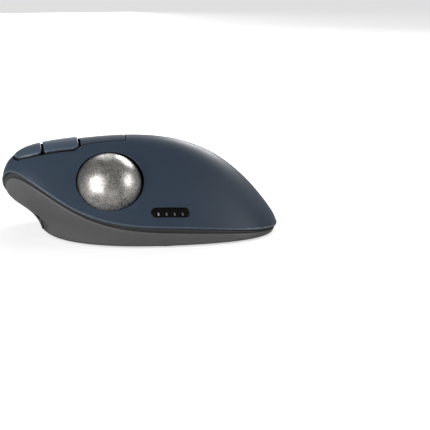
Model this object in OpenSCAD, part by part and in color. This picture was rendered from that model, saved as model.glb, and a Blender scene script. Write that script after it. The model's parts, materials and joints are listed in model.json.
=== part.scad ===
// Thumb trackball mouse, right handed. Millimetres.
// +Y is away from the user, +X is the user's right, +Z is up, z = 0 is the desk.

/* [Body] */
// overall length, nose to tail
body_length = 145; // [120:1:170]
// overall width
body_width = 100.5; // [85:0.5:120]
// height scale of the upper casing
height_scale = 1; // [0.85:0.01:1.15]
// wall thickness of the upper casing
shell_wall = 2.2; // [1.6:0.1:3]
// wall thickness of the lower casing
base_wall = 2.6; // [2:0.1:4]
// gap round each button
key_gap = 0.8; // [0.5:0.1:1.2]
// how far the side buttons stand proud
side_proud = 0.8; // [0.3:0.1:1.5]
// height of the feet below the floor
foot_height = 0.8; // [0.4:0.1:1.5]

/* [Ball] */
// ball diameter
ball_d = 34; // [28:0.5:40]
// ball centre, left to right
ball_x = -30; // [-34:0.5:-24]
// ball centre, back to front
ball_y = 20.7; // [10:0.1:30]
// ball centre above the desk
ball_z = 29.1; // [26:0.1:34]
// gap between the ball and its cup
ball_gap = 0.9; // [0.5:0.1:1.5]
// how far the opening leans back from upright
ball_lean = 52.3; // [40:0.1:60]
// diameter of the hole for pushing the ball out
eject_d = 13; // [9:0.5:16]

/* [Wheel] */
// scroll wheel diameter
wheel_d = 25; // [20:0.5:28]
// scroll wheel width
wheel_w = 7; // [5:0.5:9]
// wheel centre, left to right
wheel_x = 4.1; // [0:0.1:8]
// wheel centre, back to front
wheel_y = 46; // [40:0.5:50]
// wheel centre above the desk
wheel_z = 35.4; // [30:0.1:40]
// sideways lean of the wheel
wheel_lean = 24; // [0:1:30]
// axle diameter
axle_d = 3; // [2:0.1:4]
// running clearance of the axle, on the radius
axle_play = 0.05; // [0.02:0.01:0.1]

/* [Window] */
// length of the indicator window
window_l = 20; // [14:0.5:26]
// height of the indicator window
window_h = 5; // [4:0.1:8]
// how deep the window sits
window_deep = 1; // [0.4:0.1:1.6]

/* [Hidden] */
$fn = 48;
half_l = body_length / 2;
kx = body_width / 100.5;
kz = height_scale;
base_z = foot_height;
floor_t = 2;
floor_z = base_z + floor_t;
pcb_z = 7;
pcb_t = 1.6;
pcb_top = pcb_z + pcb_t;
ball_r = ball_d / 2;
ball_c = [ball_x, ball_y, ball_z];
wheel_r = wheel_d / 2;
wheel_c = [wheel_x, wheel_y, wheel_z];
window_c = [-44.9, -8.5, 17.6];

// control values every 20 degrees round the parting line, nose first, thumb side first
ring_x = [3, -19, -33, -44, -51, -50, -45, -36, -20, 2, 24, 38, 47, 50, 50.5, 49, 43, 27] * kx;
ring_z = [30, 38.5, 30.5, 17, 11.5, 10.5, 7.5, 4.7, 3, 2.8, 3.5, 5, 7, 8, 9, 9.5, 10.5, 16];
// the same for the foot of the lower casing
foot_x = [6, -16, -33, -43.5, -48, -48, -45, -37, -22, 1, 20, 34, 42, 45, 45, 43, 37, 24] * kx;
foot_mid_y = -9;
foot_half_l = 61;
// the ridge from nose to tail, and how it leans
ridge_x = [3, -6, -9, -11, -12, -11, -9, -6, -2, 2] * kx;
ridge_z = [30, 43, 49, 51.5, 53.5, 52, 43.5, 26.5, 9.8, 3] * kz;
ridge_lean = [0, 6, 9, 12, 12, 11, 9, 6, 3, 0];

// ---- curves
function b4(t) = [pow(1 - t, 3), 3*t*t*t - 6*t*t + 4, -3*t*t*t + 3*t*t + 3*t + 1, t*t*t] / 6;
function ring(v, phi) =
  let (n = len(v), u = (phi + 720) % 360 / 20, i = floor(u), w = b4(u - i))
  w[0]*v[(i + n - 1) % n] + w[1]*v[i % n] + w[2]*v[(i + 1) % n] + w[3]*v[(i + 2) % n];
function line_of(v, a, b) = // open curve whose ends are a and b
  concat([2*a - v[1]], [a], [for (i = [1 : len(v) - 2]) v[i]], [b], [2*b - v[len(v) - 2]]);
function along(v, th) =
  let (u = min(th / 20, len(v) - 3.000001), i = floor(u), w = b4(u - i))
  w[0]*v[i] + w[1]*v[i + 1] + w[2]*v[i + 2] + w[3]*v[i + 3];
line_x = line_of(ridge_x, ring(ring_x, 0), ring(ring_x, 180));
line_z = line_of(ridge_z, ring(ring_z, 0), ring(ring_z, 180));
line_lean = line_of(ridge_lean, 0, 0);
function bez(p, s) = pow(1 - s, 3)*p[0] + 3*pow(1 - s, 2)*s*p[1] + 3*(1 - s)*s*s*p[2] + s*s*s*p[3];

// a point of the upper casing: th goes from the nose (0) to the tail (180),
// t from the thumb side (0) over the ridge (1) to the finger side (2)
function top_at(th, t) = let (
    l = [ring(ring_x, th), ring(ring_z, th)],
    e = [ring(ring_x, 360 - th), ring(ring_z, 360 - th)],
    r = [along(line_x, th), along(line_z, th)],
    g = tan(along(line_lean, th)),
    c = pow(abs(cos(th)), 3),
    fl = 0.25 + 0.65*c, fr = 0.78 + 0.12*c,
    dl = r - l, dr = r - e,
    p = t <= 1
      ? bez([l, l + 0.4*[(1 - fl)*dl[0], dl[1]], r - 0.34*dl[0]*[1, -g], r], t)
      : bez([r, r - 0.34*dr[0]*[1, g], e + 0.46*[(1 - fr)*dr[0], dr[1]], e], t - 1))
  [p[0], half_l*cos(th), p[1]];
function unit(v) = v / norm(v);
function top_normal(th, t) =
  let (a = max(4, min(176, th)), u = max(0.01, min(1.99, t)))
  unit(cross(top_at(a + 1, u) - top_at(a - 1, u), top_at(a, u + 0.01) - top_at(a, u - 0.01)));
function skin(th, t, d) = top_at(th, t) - d*top_normal(th, t);

// a solid made of loops of points, closed with a point at each end
module rows(loops, first, last) {
  n = len(loops); m = len(loops[0]);
  polyhedron(
    points = concat([first], [for (l = loops) for (p = l) p], [last]),
    faces = concat(
      [for (j = [0 : m - 1]) [0, 1 + (j + 1) % m, 1 + j]],
      [for (i = [0 : n - 2], j = [0 : m - 1])
        let (a = 1 + i*m + j, b = 1 + i*m + (j + 1) % m) [a, b, a + m]],
      [for (i = [0 : n - 2], j = [0 : m - 1])
        let (a = 1 + i*m + j, b = 1 + i*m + (j + 1) % m) [b, b + m, a + m]],
      [for (j = [0 : m - 1]) [1 + n*m, 1 + (n - 1)*m + j, 1 + (n - 1)*m + (j + 1) % m]]),
    convexity = 8);
}

stations = [for (k = [1 : 30]) 180*k/31];
steps = [for (k = [0 : 22]) k / 11];
// the upper casing as a lump, its skin moved in by d, carried on downwards by drop
module dome(d, drop = 0) {
  loops = [for (th = stations) let (
      s = [for (t = steps) skin(th, t, d)],
      a = s[0], b = s[len(s) - 1])
    drop > 0 ? concat(s, [b - [0, 0, drop], a - [0, 0, drop]]) : s];
  nose = top_at(0, 1) - [0, d, 0];
  tail = top_at(180, 1) + [0, d, 0];
  rows(loops, nose, tail);
}
module band(d0, d1) { difference() { dome(d0); dome(d1, 20); } }

// ---- the lower casing: s goes from the parting line (0) to the floor (1)
function wall_at(phi, s) = let (
    a = [ring(ring_x, phi), half_l*cos(phi), ring(ring_z, phi)],
    b = [ring(foot_x, phi), foot_mid_y + foot_half_l*cos(phi), base_z],
    f = s - 0.5*pow(max(0, cos(phi)), 2)*sin(360*s)/6.28)
  [a[0] + f*(b[0] - a[0]), a[1] + f*(b[1] - a[1]), a[2] + s*(b[2] - a[2])];
function wall_in(phi, s, d, up = 0) = let (
    q = wall_at(phi + 1, s) - wall_at(phi - 1, s),
    n = unit([q[1], -q[0], 0]), p = wall_at(phi, s))
  p - d*n + [0, 0, up];
bearings = [for (k = [0 : 47]) 7.5*k];
function strip_s(phi) = min(3 / (ring(ring_z, phi) - base_z), 0.32);
// depth on the wall at a height above the floor
function s_at(phi, z) = let (t = ring(ring_z, phi)) min(1, max(0, (t - z) / (t - base_z)));

module lower_lump() {
  cuts = [0, 0.12, 0.25, 0.4, 0.55, 0.7, 0.83, 0.93];
  loops = concat(
    [for (c = cuts) [for (p = bearings) let (b = strip_s(p)) wall_in(p, b + c*(1 - b), 0)]],
    [[for (p = bearings) wall_in(p, 1, 1.6)]]);
  rows(loops, [0, 0, 12], [0, foot_mid_y, base_z]);
}
module lower_room() {
  levels = [1, 0.75, 0.5, 0.25, 0];
  loops = concat(
    [[for (p = bearings) wall_in(p, 0, base_wall + 2, 9)]],
    [for (v = levels) [for (p = bearings) let (
        z = floor_z + v*max(0.2, ring(ring_z, p) - floor_z))
      let (q = wall_in(p, s_at(p, z), base_wall + 1.2*max(0, cos(p)))) [q[0], q[1], z]]]);
  rows(loops, [0, 0, 30], [0, foot_mid_y, floor_z]);
}
strip_in = 0.9; // how far the strip lies behind the casings' faces
// the dark strip between the casings, grown by g
module strip_ring(g = 0) {
  prof = function(phi) let (b = strip_s(phi)) [
    wall_in(phi, 0, 4.2 - g, 1.5 + g), wall_in(phi, 0, strip_in - g, g),
    wall_in(phi, b, strip_in - g, 0), wall_in(phi, b, strip_in + 0.3 - g, -0.6 - g),
    wall_in(phi, b, 3.2 + g, -0.6 - g), wall_in(phi, 0, 5.6 + g, 1.5 + g)];
  n = len(bearings); m = 6;
  polyhedron(
    points = [for (p = bearings) for (q = prof(p)) q],
    faces = [for (i = [0 : n - 1], j = [0 : m - 1], h = [0, 1])
      let (k = (i + 1) % n, a = i*m + j, b = i*m + (j + 1) % m, c = k*m + j, d = k*m + (j + 1) % m)
      h == 0 ? [a, c, b] : [b, c, d]],
    convexity = 8);
}

// ---- outlines seen from above
forward_pts = [[-7.4, 67.6], [-11.6, 67.2], [-15.4, 65.4], [-18.6, 60], [-20, 52.9], [-7.4, 52.9]];
back_pts = [[-7.4, 52.9], [-20, 52.9], [-22, 37.2], [-20.6, 34.2], [-7.4, 34.2]];
left_pts = [[-7.4, 65.8], [-7.4, 34.2], [-20, 34.2], [-20.4, 12.4], [-19.2, 10.2], [3.4, 10.2],
  [3.4, 57.2], [8, 57.2], [8, 65.2], [3, 66.4]];
right_pts = [[8, 65.2], [8, 57.2], [12.8, 57.2], [12.8, 10.2], [31, 10.2], [33.4, 13.6], [33.6, 34],
  [32, 44], [27.6, 54], [20, 61.4], [14, 64.2]];
slot_pts = [[3, 57.6], [3, 33.4], [13.2, 33.4], [13.2, 57.6]];
dpi_c = [8, 22];
dpi_l = 11;
dpi_w = 5;
module outline(pts, g, r = 1.2) { offset(r = r) offset(delta = g - r) polygon(pts); }
module pillar() { translate([0, 0, 5]) linear_extrude(60, convexity = 4) children(); }
module pill(l, w, h) {
  for (s = [-1, 1]) translate([0, s*(l - w)/2, 0]) cylinder(d = w, h = h);
  translate([-w/2, -(l - w)/2, 0]) cube([w, l - w, h]);
}
module at_window() { translate(window_c) rotate([0, 0, 6]) rotate([3, -56, 0]) children(); }
module at_ball() { translate(ball_c) rotate([0, -ball_lean, 0]) children(); }
module at_wheel() { translate(wheel_c) rotate([0, wheel_lean, 0]) children(); }

opening_squash = 0.965; // the opening's height as a share of its length
bosses = [[-24, -48], [24, -48], [38.2, 13], [-32, -17]];
left_stem = [-1, 30];
right_stem = [20, 30];
side_stems = [[-13, 58.6], [-13.4, 43]];
switch_h = 6.5;
plunger_top = pcb_top + switch_h + 0.8;

// ---- casing
module top_shell() {
  color("slategray") resize([0, 0, 0]) difference() {
    union() {
      band(0, shell_wall);
      intersection() {
        dome(1);
        for (b = bosses) translate([b[0], b[1], floor_z + 0.03]) cylinder(r = 2.8, h = 60, $fn = 24);
      }
    }
    pillar() offset(r = 1.2) offset(delta = -1.2)
      for (p = [forward_pts, back_pts, left_pts, right_pts, slot_pts]) offset(delta = 0.01) polygon(p);
    translate([dpi_c[0], dpi_c[1], 30]) pill(dpi_l + 0.8, dpi_w + 0.8, 30);
    // ball opening: a lip that keeps the ball in, flared outwards
    at_ball() {
      scale([opening_squash, 1, 1]) {
        cylinder(r = ball_r - 0.1, h = 30, $fn = 72);
        translate([0, 0, 4.9]) cylinder(r1 = ball_r - 0.1, r2 = ball_r + 1.1, h = 2.3, $fn = 72);
        translate([0, 0, 7.2]) cylinder(r = ball_r + 1.1, h = 20, $fn = 72);
      }
      sphere(r = ball_r + 0.5, $fn = 60);
    }
    at_window() translate([0, 0, -8]) pill(window_l - 1.6, window_h - 1.6, 20);
    at_window() translate([0, 0, -window_deep - 0.2]) pill(window_l, window_h, 12);
    for (b = bosses) translate([b[0], b[1], floor_z - 1]) cylinder(r = 1.2, h = 8, $fn = 16);
  }
}
module trim_strip() {
  color("dimgray") resize([0, 0, 0]) difference() {
    strip_ring();
    translate([0, 0, -0.15]) band(-0.3, shell_wall + 0.3);
    translate([0, 0, -0.4]) band(-0.3, shell_wall + 0.3);
    usb_cut();
  }
}
usb_x = -4;
usb_y = 53;
usb_z = 7.4;
module at_port(y) { translate([usb_x, y, usb_z]) rotate([-90, 0, 0]) rotate(90) children(); }
module usb_cut() { at_port(usb_y) pill(13, 7, 20); }
bay_c = [24, -22];
bay_l = 19.6;
bay_w = 15.6;
module base_shell() {
  color("darkgray") resize([0, 0, 0]) difference() {
    union() {
      difference() { lower_lump(); lower_room(); }
      // pocket for the receiver, posts for the boards
      translate([bay_c[0] - bay_w/2 - 1.4, bay_c[1] - bay_l/2 - 1.4, base_z])
        cube([bay_w + 2.8, bay_l + 2.8, 8.6]);
      for (p = pcb_posts) translate([p[0], p[1], base_z]) cylinder(r = 2.6, h = pcb_z - base_z, $fn = 24);
      // thicker wall round the charging port
      intersection() {
        lower_lump();
        translate([usb_x - 8.5, 49.6, base_z]) cube([17, 12, 11.2]);
      }
    }
    strip_ring(0.1);
    translate([bay_c[0] - bay_w/2, bay_c[1] - bay_l/2, -1]) cube([bay_w, bay_l, 8.2 + 1]);
    translate([bay_c[0], bay_c[1] - bay_l/2 - 1, -1]) cylinder(r = 5, h = 2.6, $fn = 32);
    translate([ball_x, ball_y, -1]) cylinder(d = eject_d, h = 10, $fn = 48);
    for (b = bosses) translate([b[0], b[1], -1]) cylinder(r = 1.5, h = 10, $fn = 24);
    for (b = bosses) translate([b[0], b[1], -1]) cylinder(r = 2.9, h = 1 + base_z + 0.9, $fn = 24);
    for (p = pcb_posts) translate([p[0], p[1], base_z + 1.6]) cylinder(r = 1, h = 10, $fn = 16);
    for (f = feet) translate([f[0], f[1], -1]) rotate(f[2]) pill(f[3] + 0.5, f[4] + 0.5, 1 + base_z + 0.5);
    translate([-2, -2, -1]) pill(9.6, 4.6, 10);
    translate([12, -2, -1]) cylinder(d = 4.6, h = 10, $fn = 32);
    translate([-6, -36, -1]) linear_extrude(1 + base_z + 0.45) square([28.6, 16.6], center = true);
    usb_cut();
    at_port(44) pill(9.3, 3.6, 20);
  }
}
pcb_posts = [[-10, -4], [31, 1], [31, 28], [-9, 38]];
// feet: x, y, turn, length, width
feet = [[3, 42, 90, 34, 6], [-40, -14, 6, 22, 6], [38.6, -14, -4, 22, 6], [1, -62, 90, 26, 6]];
module foot_one(f) {
  color("black") translate([f[0], f[1], 0]) rotate(f[2]) pill(f[3], f[4], base_z + 0.5);
}
module foot_front() { foot_one(feet[0]); }
module foot_left() { foot_one(feet[1]); }
module foot_right() { foot_one(feet[2]); }
module foot_rear() { foot_one(feet[3]); }
module label_plate() {
  color("gainsboro") translate([-6, -36, base_z + 0.05])
    linear_extrude(0.4) square([28, 16], center = true);
}
module case_screws() {
  color("silver") for (b = bosses) translate([b[0], b[1], base_z + 0.15]) {
    difference() {
      cylinder(r = 2.6, h = 0.75);
      translate([0, 0, -0.01]) for (a = [0, 90])
        rotate(a) translate([-1.4, -0.25, 0]) cube([2.8, 0.5, 0.4]);
    }
    translate([0, 0, 0.7]) cylinder(r = 1.1, h = 7.2);
  }
}

// ---- keys
module key(pts, d0, d1) {
  intersection() { band(d0, d1); pillar() outline(pts, -key_gap/2, 1); }
}
module stem(c, w, z0, d) {
  intersection() {
    dome(d);
    translate([c[0] - w/2, c[1] - w/2, z0]) cube([w, w, 60]);
  }
}
module left_button() {
  color("slategray") resize([0, 0, 0]) union() {
    key(left_pts, 0, 2);
    stem(left_stem, 3.4, plunger_top + 0.05, 1);
  }
}
module right_button() {
  color("slategray") resize([0, 0, 0]) union() {
    key(right_pts, 0, 2);
    stem(right_stem, 3.4, plunger_top + 0.05, 1);
  }
}
side_board_z = 35;
side_switch_top = side_board_z + 1.2 + 3.4;
module forward_button() {
  color("lightslategray") resize([0, 0, 0]) union() {
    key(forward_pts, -side_proud, 1.6);
    stem(side_stems[0], 2.6, side_switch_top + 0.55, 0.6);
  }
}
module back_button() {
  color("lightslategray") resize([0, 0, 0]) union() {
    key(back_pts, -side_proud, 1.6);
    stem(side_stems[1], 2.6, side_switch_top + 0.55, 0.6);
  }
}
module dpi_button() {
  color("lightslategray") resize([0, 0, 0]) union() {
    intersection() {
      dome(-0.7);
      translate([dpi_c[0], dpi_c[1], 42.6]) pill(dpi_l, dpi_w, 12);
    }
    translate([dpi_c[0], dpi_c[1], pcb_top + 4.4 + 0.55]) cylinder(r = 1.4, h = 30, $fn = 20);
  }
}

// ---- ball
module trackball() { color("silver") translate(ball_c) sphere(r = ball_r, $fn = 72); }
// three bearings round the axis of the opening, on its far side
bearing_turns = [0, 120, 240];
module at_bearing(a) { at_ball() rotate([0, 0, a]) rotate([0, 130, 0]) children(); }
sensor_lean = 62; // from straight down, towards the finger side
module at_sensor() { translate(ball_c) rotate([0, 180 - sensor_lean, 0]) children(); }
module ball_socket() {
  r1 = ball_r + ball_gap;
  color("black") difference() {
    union() {
      intersection() {
        translate(ball_c) sphere(r = r1 + 2.1, $fn = 64);
        translate([ball_x, ball_y, ball_z - 30]) cylinder(r = 40, h = 37.4);
        at_ball() translate([0, 0, -41]) cylinder(r = 40, h = 40);
      }
      translate([ball_x, ball_y, floor_z + 0.02]) cylinder(r = 8.2, h = 9);
      translate([ball_x, ball_y, floor_z + 0.02]) cylinder(r = 9, h = 1.4);
    }
    translate(ball_c) sphere(r = r1, $fn = 64);
    translate([ball_x, ball_y, 0]) cylinder(d = eject_d, h = 20);
    at_sensor() cylinder(r = 3.2, h = 30);
    for (a = bearing_turns) at_bearing(a) cylinder(r = 1.55, h = 30);
  }
}
module support_bearing(k) {
  color("white") at_bearing(bearing_turns[k]) translate([0, 0, ball_r + 0.05 + 1.5]) {
    sphere(r = 1.5, $fn = 32);
    translate([0, 0, 0.2]) cylinder(r = 1.5, h = 1.6, $fn = 32);
  }
}
module bearing_upper() { support_bearing(0); }
module bearing_rear() { support_bearing(1); }
module bearing_front() { support_bearing(2); }
module sensor_lens() {
  color("lightcyan") at_sensor() {
    translate([0, 0, ball_r + ball_gap + 0.4]) cylinder(r = 3, h = 2);
    translate([-4.5, -4.5, ball_r + ball_gap + 2.3]) cube([9, 9, 1.2]);
  }
}
module sensor_chip() {
  color("black") at_sensor() difference() {
    translate([-4, -5, ball_r + ball_gap + 3.55]) cube([8, 10, 2.4]);
    translate([0, 0, ball_r + ball_gap + 3.5]) cylinder(r = 1, h = 1);
  }
}
module sensor_board() {
  color("green") at_sensor() difference() {
    translate([-8, -9, ball_r + ball_gap + 6]) cube([16, 18, 1.2]);
    for (s = [-1, 1]) translate([-6, s*7, ball_r + ball_gap + 5]) cylinder(r = 0.9, h = 4);
  }
}

// ---- wheel
module scroll_wheel() {
  color("dimgray") at_wheel() rotate([0, 90, 0]) difference() {
    union() {
      translate([0, 0, -wheel_w/2]) cylinder(r = wheel_r - 2.6, h = wheel_w, $fn = 72);
      translate([0, 0, -wheel_w/2 - 0.8]) cylinder(r = 3.4, h = wheel_w + 1.6);
    }
    translate([0, 0, -10]) cylinder(d = axle_d, h = 20);
    for (s = [0, 1]) mirror([0, 0, s]) translate([0, 0, wheel_w/2 - 1]) difference() {
      cylinder(r = wheel_r - 4.4, h = 2);
      translate([0, 0, -1]) cylinder(r = 4.6, h = 4);
    }
  }
}
module wheel_tyre() {
  color("black") at_wheel() rotate([0, 90, 0]) difference() {
    translate([0, 0, -wheel_w/2 + 0.3]) cylinder(r = wheel_r, h = wheel_w - 0.6, $fn = 72);
    translate([0, 0, -10]) cylinder(r = wheel_r - 2.6, h = 20, $fn = 72);
    for (k = [0 : 23]) rotate(15*k) translate([wheel_r + 0.35, 0, -5]) cylinder(r = 0.8, h = 10, $fn = 16);
  }
}
module wheel_axle() {
  color("silver") at_wheel() rotate([0, 90, 0]) {
    translate([0, 0, -6.6]) cylinder(d = axle_d, h = 13.2);
    translate([0, 0, 6.5]) cylinder(d = 1.8, h = 2.6, $fn = 6);
  }
}
module wheel_carrier() {
  color("gray") at_wheel() difference() {
    union() {
      for (s = [-1, 1]) translate([s*5.9 - 0.8, -5, -15.4]) cube([1.6, 10, 17.6]);
      translate([-6.7, -5, -15.4]) cube([13.4, 10, 1.6]);
      translate([-1.5, -1.5, -17.5]) cube([3, 3, 2.2]);
    }
    rotate([0, 90, 0]) translate([0, 0, -12]) cylinder(r = axle_d/2 + axle_play, h = 24);
  }
}
// bracket on the main board that guides the carrier
module wheel_bracket() {
  color("darkslategray") difference() {
    union() {
      at_wheel() for (x = [-8.8, 9.6]) translate([x, -7.4, -21]) cube([1.6, 14.8, 15.2]);
      at_wheel() for (s = [-1, 1]) translate([-8.8, s*6.6 - 0.8, -21]) cube([20, 1.6, 7]);
      translate([-6.8, wheel_y - 7.8, pcb_top + 0.02]) cube([16, 1.9, 12]);
      translate([-6.5, wheel_y - 9.4, pcb_top + 0.02]) cube([15.4, 3, 1.2]);
    }
  }
}
module wheel_spring() {
  color("silver") at_wheel() {
    translate([-5, -4.2, -15.75]) cube([2.6, 8.4, 0.33]);
    for (y = [-4.2, 3.87]) translate([-5, y, -20.4]) cube([2.6, 0.33, 4.8]);
  }
}
module wheel_encoder() {
  color("forestgreen") at_wheel() difference() {
    translate([6.75, -5, -8]) cube([2.5, 10, 13]);
    rotate([0, 90, 0]) translate([0, 0, 5]) cylinder(r = 1.3, h = 12);
  }
}

// ---- boards, switches, power
module main_board() {
  color("green") difference() {
    translate([-13, -8, pcb_z]) cube([48, 53, pcb_t]);
    for (p = pcb_posts) translate([p[0], p[1], 0]) cylinder(r = 1.1, h = 20);
    translate([ball_x, ball_y, 0]) cylinder(r = 20.6, h = 30);
    translate([33, -10, 0]) cube([10, 60, 20]);
  }
}
module board_screws() {
  color("silver") for (p = pcb_posts) translate([p[0], p[1], pcb_top]) {
    difference() { cylinder(r = 2, h = 1); translate([-1.5, -0.25, 0.6]) cube([3, 0.5, 1]); }
    translate([0, 0, -5.6]) cylinder(r = 0.9, h = 5.7);
  }
}
module click_switch(c) {
  color("dimgray") difference() {
    translate([c[0] - 6.4, c[1] - 2.9, pcb_top]) cube([12.8, 5.8, switch_h]);
    translate([c[0] - 1.4, c[1] - 1.9, plunger_top - 2.3]) cube([2.8, 3.8, 3]);
  }
}
module click_plunger(c) {
  color("red") translate([c[0] - 1.1, c[1] - 1.6, plunger_top - 1.6]) cube([2.2, 3.2, 1.6]);
}
module left_switch() { click_switch(left_stem); }
module right_switch() { click_switch(right_stem); }
module left_plunger() { click_plunger(left_stem); }
module right_plunger() { click_plunger(right_stem); }
module middle_switch() {
  color("black") at_wheel() translate([-3, -3, -21]) {
    cube([6, 6, 2.2]);
    translate([3, 3, 2]) cylinder(r = 1.6, h = 0.9, $fn = 24);
  }
}
module middle_board() {
  color("green") at_wheel() difference() {
    translate([-7.1, -5.7, -22.4]) cube([12.8, 11.4, 1.35]);
    translate([4.6, 0, -24]) cylinder(r = 0.8, h = 4);
  }
}
module tact(c, z) {
  color("black") {
    translate([c[0] - 3, c[1] - 3, z]) cube([6, 6, 2.6]);
    translate([c[0], c[1], z + 2.5]) cylinder(r = 1.6, h = 0.9, $fn = 24);
  }
}
module dpi_switch() {
  color("black") {
    translate([dpi_c[0] - 3, dpi_c[1] - 3, pcb_top]) cube([6, 6, 3.6]);
    translate([dpi_c[0], dpi_c[1], pcb_top + 3.5]) cylinder(r = 1.6, h = 0.9, $fn = 24);
  }
}
module forward_switch() { tact(side_stems[0], side_board_z + 1.2); }
module back_switch() { tact(side_stems[1], side_board_z + 1.2); }
module side_button_board() {
  color("green") difference() {
    translate([-16.6, 38.6, side_board_z]) cube([7.2, 23.6, 1.2]);
    translate([-11.2, 51, side_board_z - 1]) cylinder(r = 0.9, h = 4);
  }
}
module side_board_post() {
  color("gray") {
    translate([-17, 40.4, floor_z + 0.02]) cube([3.2, 3.4, side_board_z - floor_z - 0.07]);
    translate([-17, 40.4, side_board_z - 4]) cube([3.2, 19, 3.95]);
  }
}
module battery() {
  color("silver") translate([-22, -44, floor_z + 0.1]) cube([34, 30, 5.6]);
}
module battery_connector() {
  color("white") translate([-6.4, -7, pcb_top]) cube([7, 5, 4.5]);
}
module radio_can() {
  color("silver") translate([20, 8, pcb_top]) cube([11, 14, 2.2]);
}
module usb_port() {
  color("silver") difference() {
    at_port(45.2) pill(8.94, 3.26, 7.6);
    at_port(45.8) pill(8.34, 2.66, 7.4);
  }
}
module usb_tongue() {
  color("black") translate([usb_x - 3.35, 45.85, usb_z - 0.35]) cube([6.7, 5.4, 0.7]);
}
module usb_board() {
  color("green") translate([usb_x - 6.6, 41, usb_z - 1.65 - 1.2]) cube([13.2, 5.8, 1.1]);
}
module indicator_lens() {
  color("black") at_window() {
    translate([0, 0, -2.6]) pill(window_l - 1.8, window_h - 1.8, 1.5);
    translate([0, 0, -window_deep - 0.17]) pill(window_l - 0.7, window_h - 0.7, 0.5);
  }
}
module indicator_leds() {
  color("white") at_window() for (k = [-1.5, -0.5, 0.5, 1.5])
    translate([-1.2, 4.2*k - 0.8, -4.4]) cube([1.2, 1.6, 1]);
}
module indicator_board() {
  color("green") at_window() difference() {
    translate([-3.5, -11, -5.7]) cube([7, 22, 1.2]);
    for (s = [-1, 1]) translate([0, s*9.6, -7]) cylinder(r = 0.7, h = 4);
  }
}
module power_switch() {
  color("dimgray") difference() {
    translate([-5.2, -8, floor_z + 0.05]) cube([6.4, 12, 3.4]);
    translate([-4.2, -6.6, floor_z - 1]) cube([4.4, 9.2, 2.6]);
  }
}
module power_knob() {
  color("orange") {
    translate([-3.7, -5.6, base_z + 0.4]) cube([3.4, 3.6, 2.2]);
    translate([-4, -6.2, floor_z + 0.15]) cube([4, 4.8, 1.2]);
  }
}
module pairing_button() {
  color("lightslategray") {
    translate([12, -2, base_z + 0.4]) cylinder(d = 4, h = 3.4);
    translate([12, -2, floor_z + 0.3]) cylinder(d = 5.4, h = 1);
  }
}
module pairing_switch() {
  color("black") translate([9.4, -4.6, floor_z + 2.05]) cube([5.2, 5.2, pcb_z - floor_z - 2.1]);
}
module receiver_cap() {
  color("black") translate([bay_c[0] - 7.5, bay_c[1] - 9.5, base_z + 0.5]) difference() {
    cube([15, 7.2, 6.6]);
    translate([4.5, -0.01, -0.01]) cube([6, 0.8, 6.7]);
  }
}
module receiver_plug() {
  color("silver") translate([bay_c[0] - 6, bay_c[1] - 2.3, base_z + 1.7]) difference() {
    cube([12, 11.6, 4.5]);
    translate([0.35, 0.4, 0.35]) cube([11.3, 12, 2]);
    translate([0.35, 0.4, 2.35]) cube([11.3, 12, 1.8]);
  }
}

top_shell();
trim_strip();
base_shell();
foot_front();
foot_left();
foot_right();
foot_rear();
label_plate();
case_screws();
left_button();
right_button();
forward_button();
back_button();
dpi_button();
trackball();
ball_socket();
bearing_upper();
bearing_rear();
bearing_front();
sensor_lens();
sensor_chip();
sensor_board();
scroll_wheel();
wheel_tyre();
wheel_axle();
wheel_carrier();
wheel_bracket();
wheel_spring();
wheel_encoder();
main_board();
board_screws();
left_switch();
right_switch();
left_plunger();
right_plunger();
middle_switch();
middle_board();
dpi_switch();
forward_switch();
back_switch();
side_button_board();
side_board_post();
battery();
battery_connector();
radio_can();
usb_port();
usb_tongue();
usb_board();
indicator_lens();
indicator_leds();
indicator_board();
power_switch();
power_knob();
pairing_button();
pairing_switch();
receiver_cap();
receiver_plug();
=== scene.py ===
"""Thumb trackball mouse: palm shell, keys, ball, wheel, base and finishes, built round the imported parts.

Lengths in the shape functions are millimetres; +Y is away from the user, +Z is up, the thumb side is -X.
"""

import json
import math

import bpy
import numpy as np
from mathutils import Matrix, Vector
from mathutils.geometry import delaunay_2d_cdt


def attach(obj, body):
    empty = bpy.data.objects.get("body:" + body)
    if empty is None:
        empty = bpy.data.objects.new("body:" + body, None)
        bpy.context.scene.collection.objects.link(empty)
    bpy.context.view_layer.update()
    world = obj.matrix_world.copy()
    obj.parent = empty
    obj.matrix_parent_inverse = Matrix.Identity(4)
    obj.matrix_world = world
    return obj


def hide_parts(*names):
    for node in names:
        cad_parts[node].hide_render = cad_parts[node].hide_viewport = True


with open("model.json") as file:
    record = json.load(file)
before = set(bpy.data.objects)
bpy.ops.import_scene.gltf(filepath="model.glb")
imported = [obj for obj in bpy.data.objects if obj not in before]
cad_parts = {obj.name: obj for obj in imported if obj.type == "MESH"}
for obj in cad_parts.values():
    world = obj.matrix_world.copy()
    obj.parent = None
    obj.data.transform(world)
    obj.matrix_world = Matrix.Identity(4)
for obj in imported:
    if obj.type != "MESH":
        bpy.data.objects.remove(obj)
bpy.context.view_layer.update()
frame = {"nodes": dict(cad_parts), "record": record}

bl_info = {
    "name": "Thumb Trackball Mouse",
    "version": (1, 0, 0),
    "blender": (4, 5, 0),
    "location": "View3D > Sidebar > Trackball",
    "description": "Builds the looks of a right-handed thumb trackball mouse",
    "category": "Object",
}

MM = 0.001

# ---------------------------------------------------------------- shape of the casing
HALF = 72.5  # half the length, nose to tail
MAP_RADIUS = 62.0  # half the width of the flat maps of the casings
BASE_Z = 0.8  # underside of the base, above the desk

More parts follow.
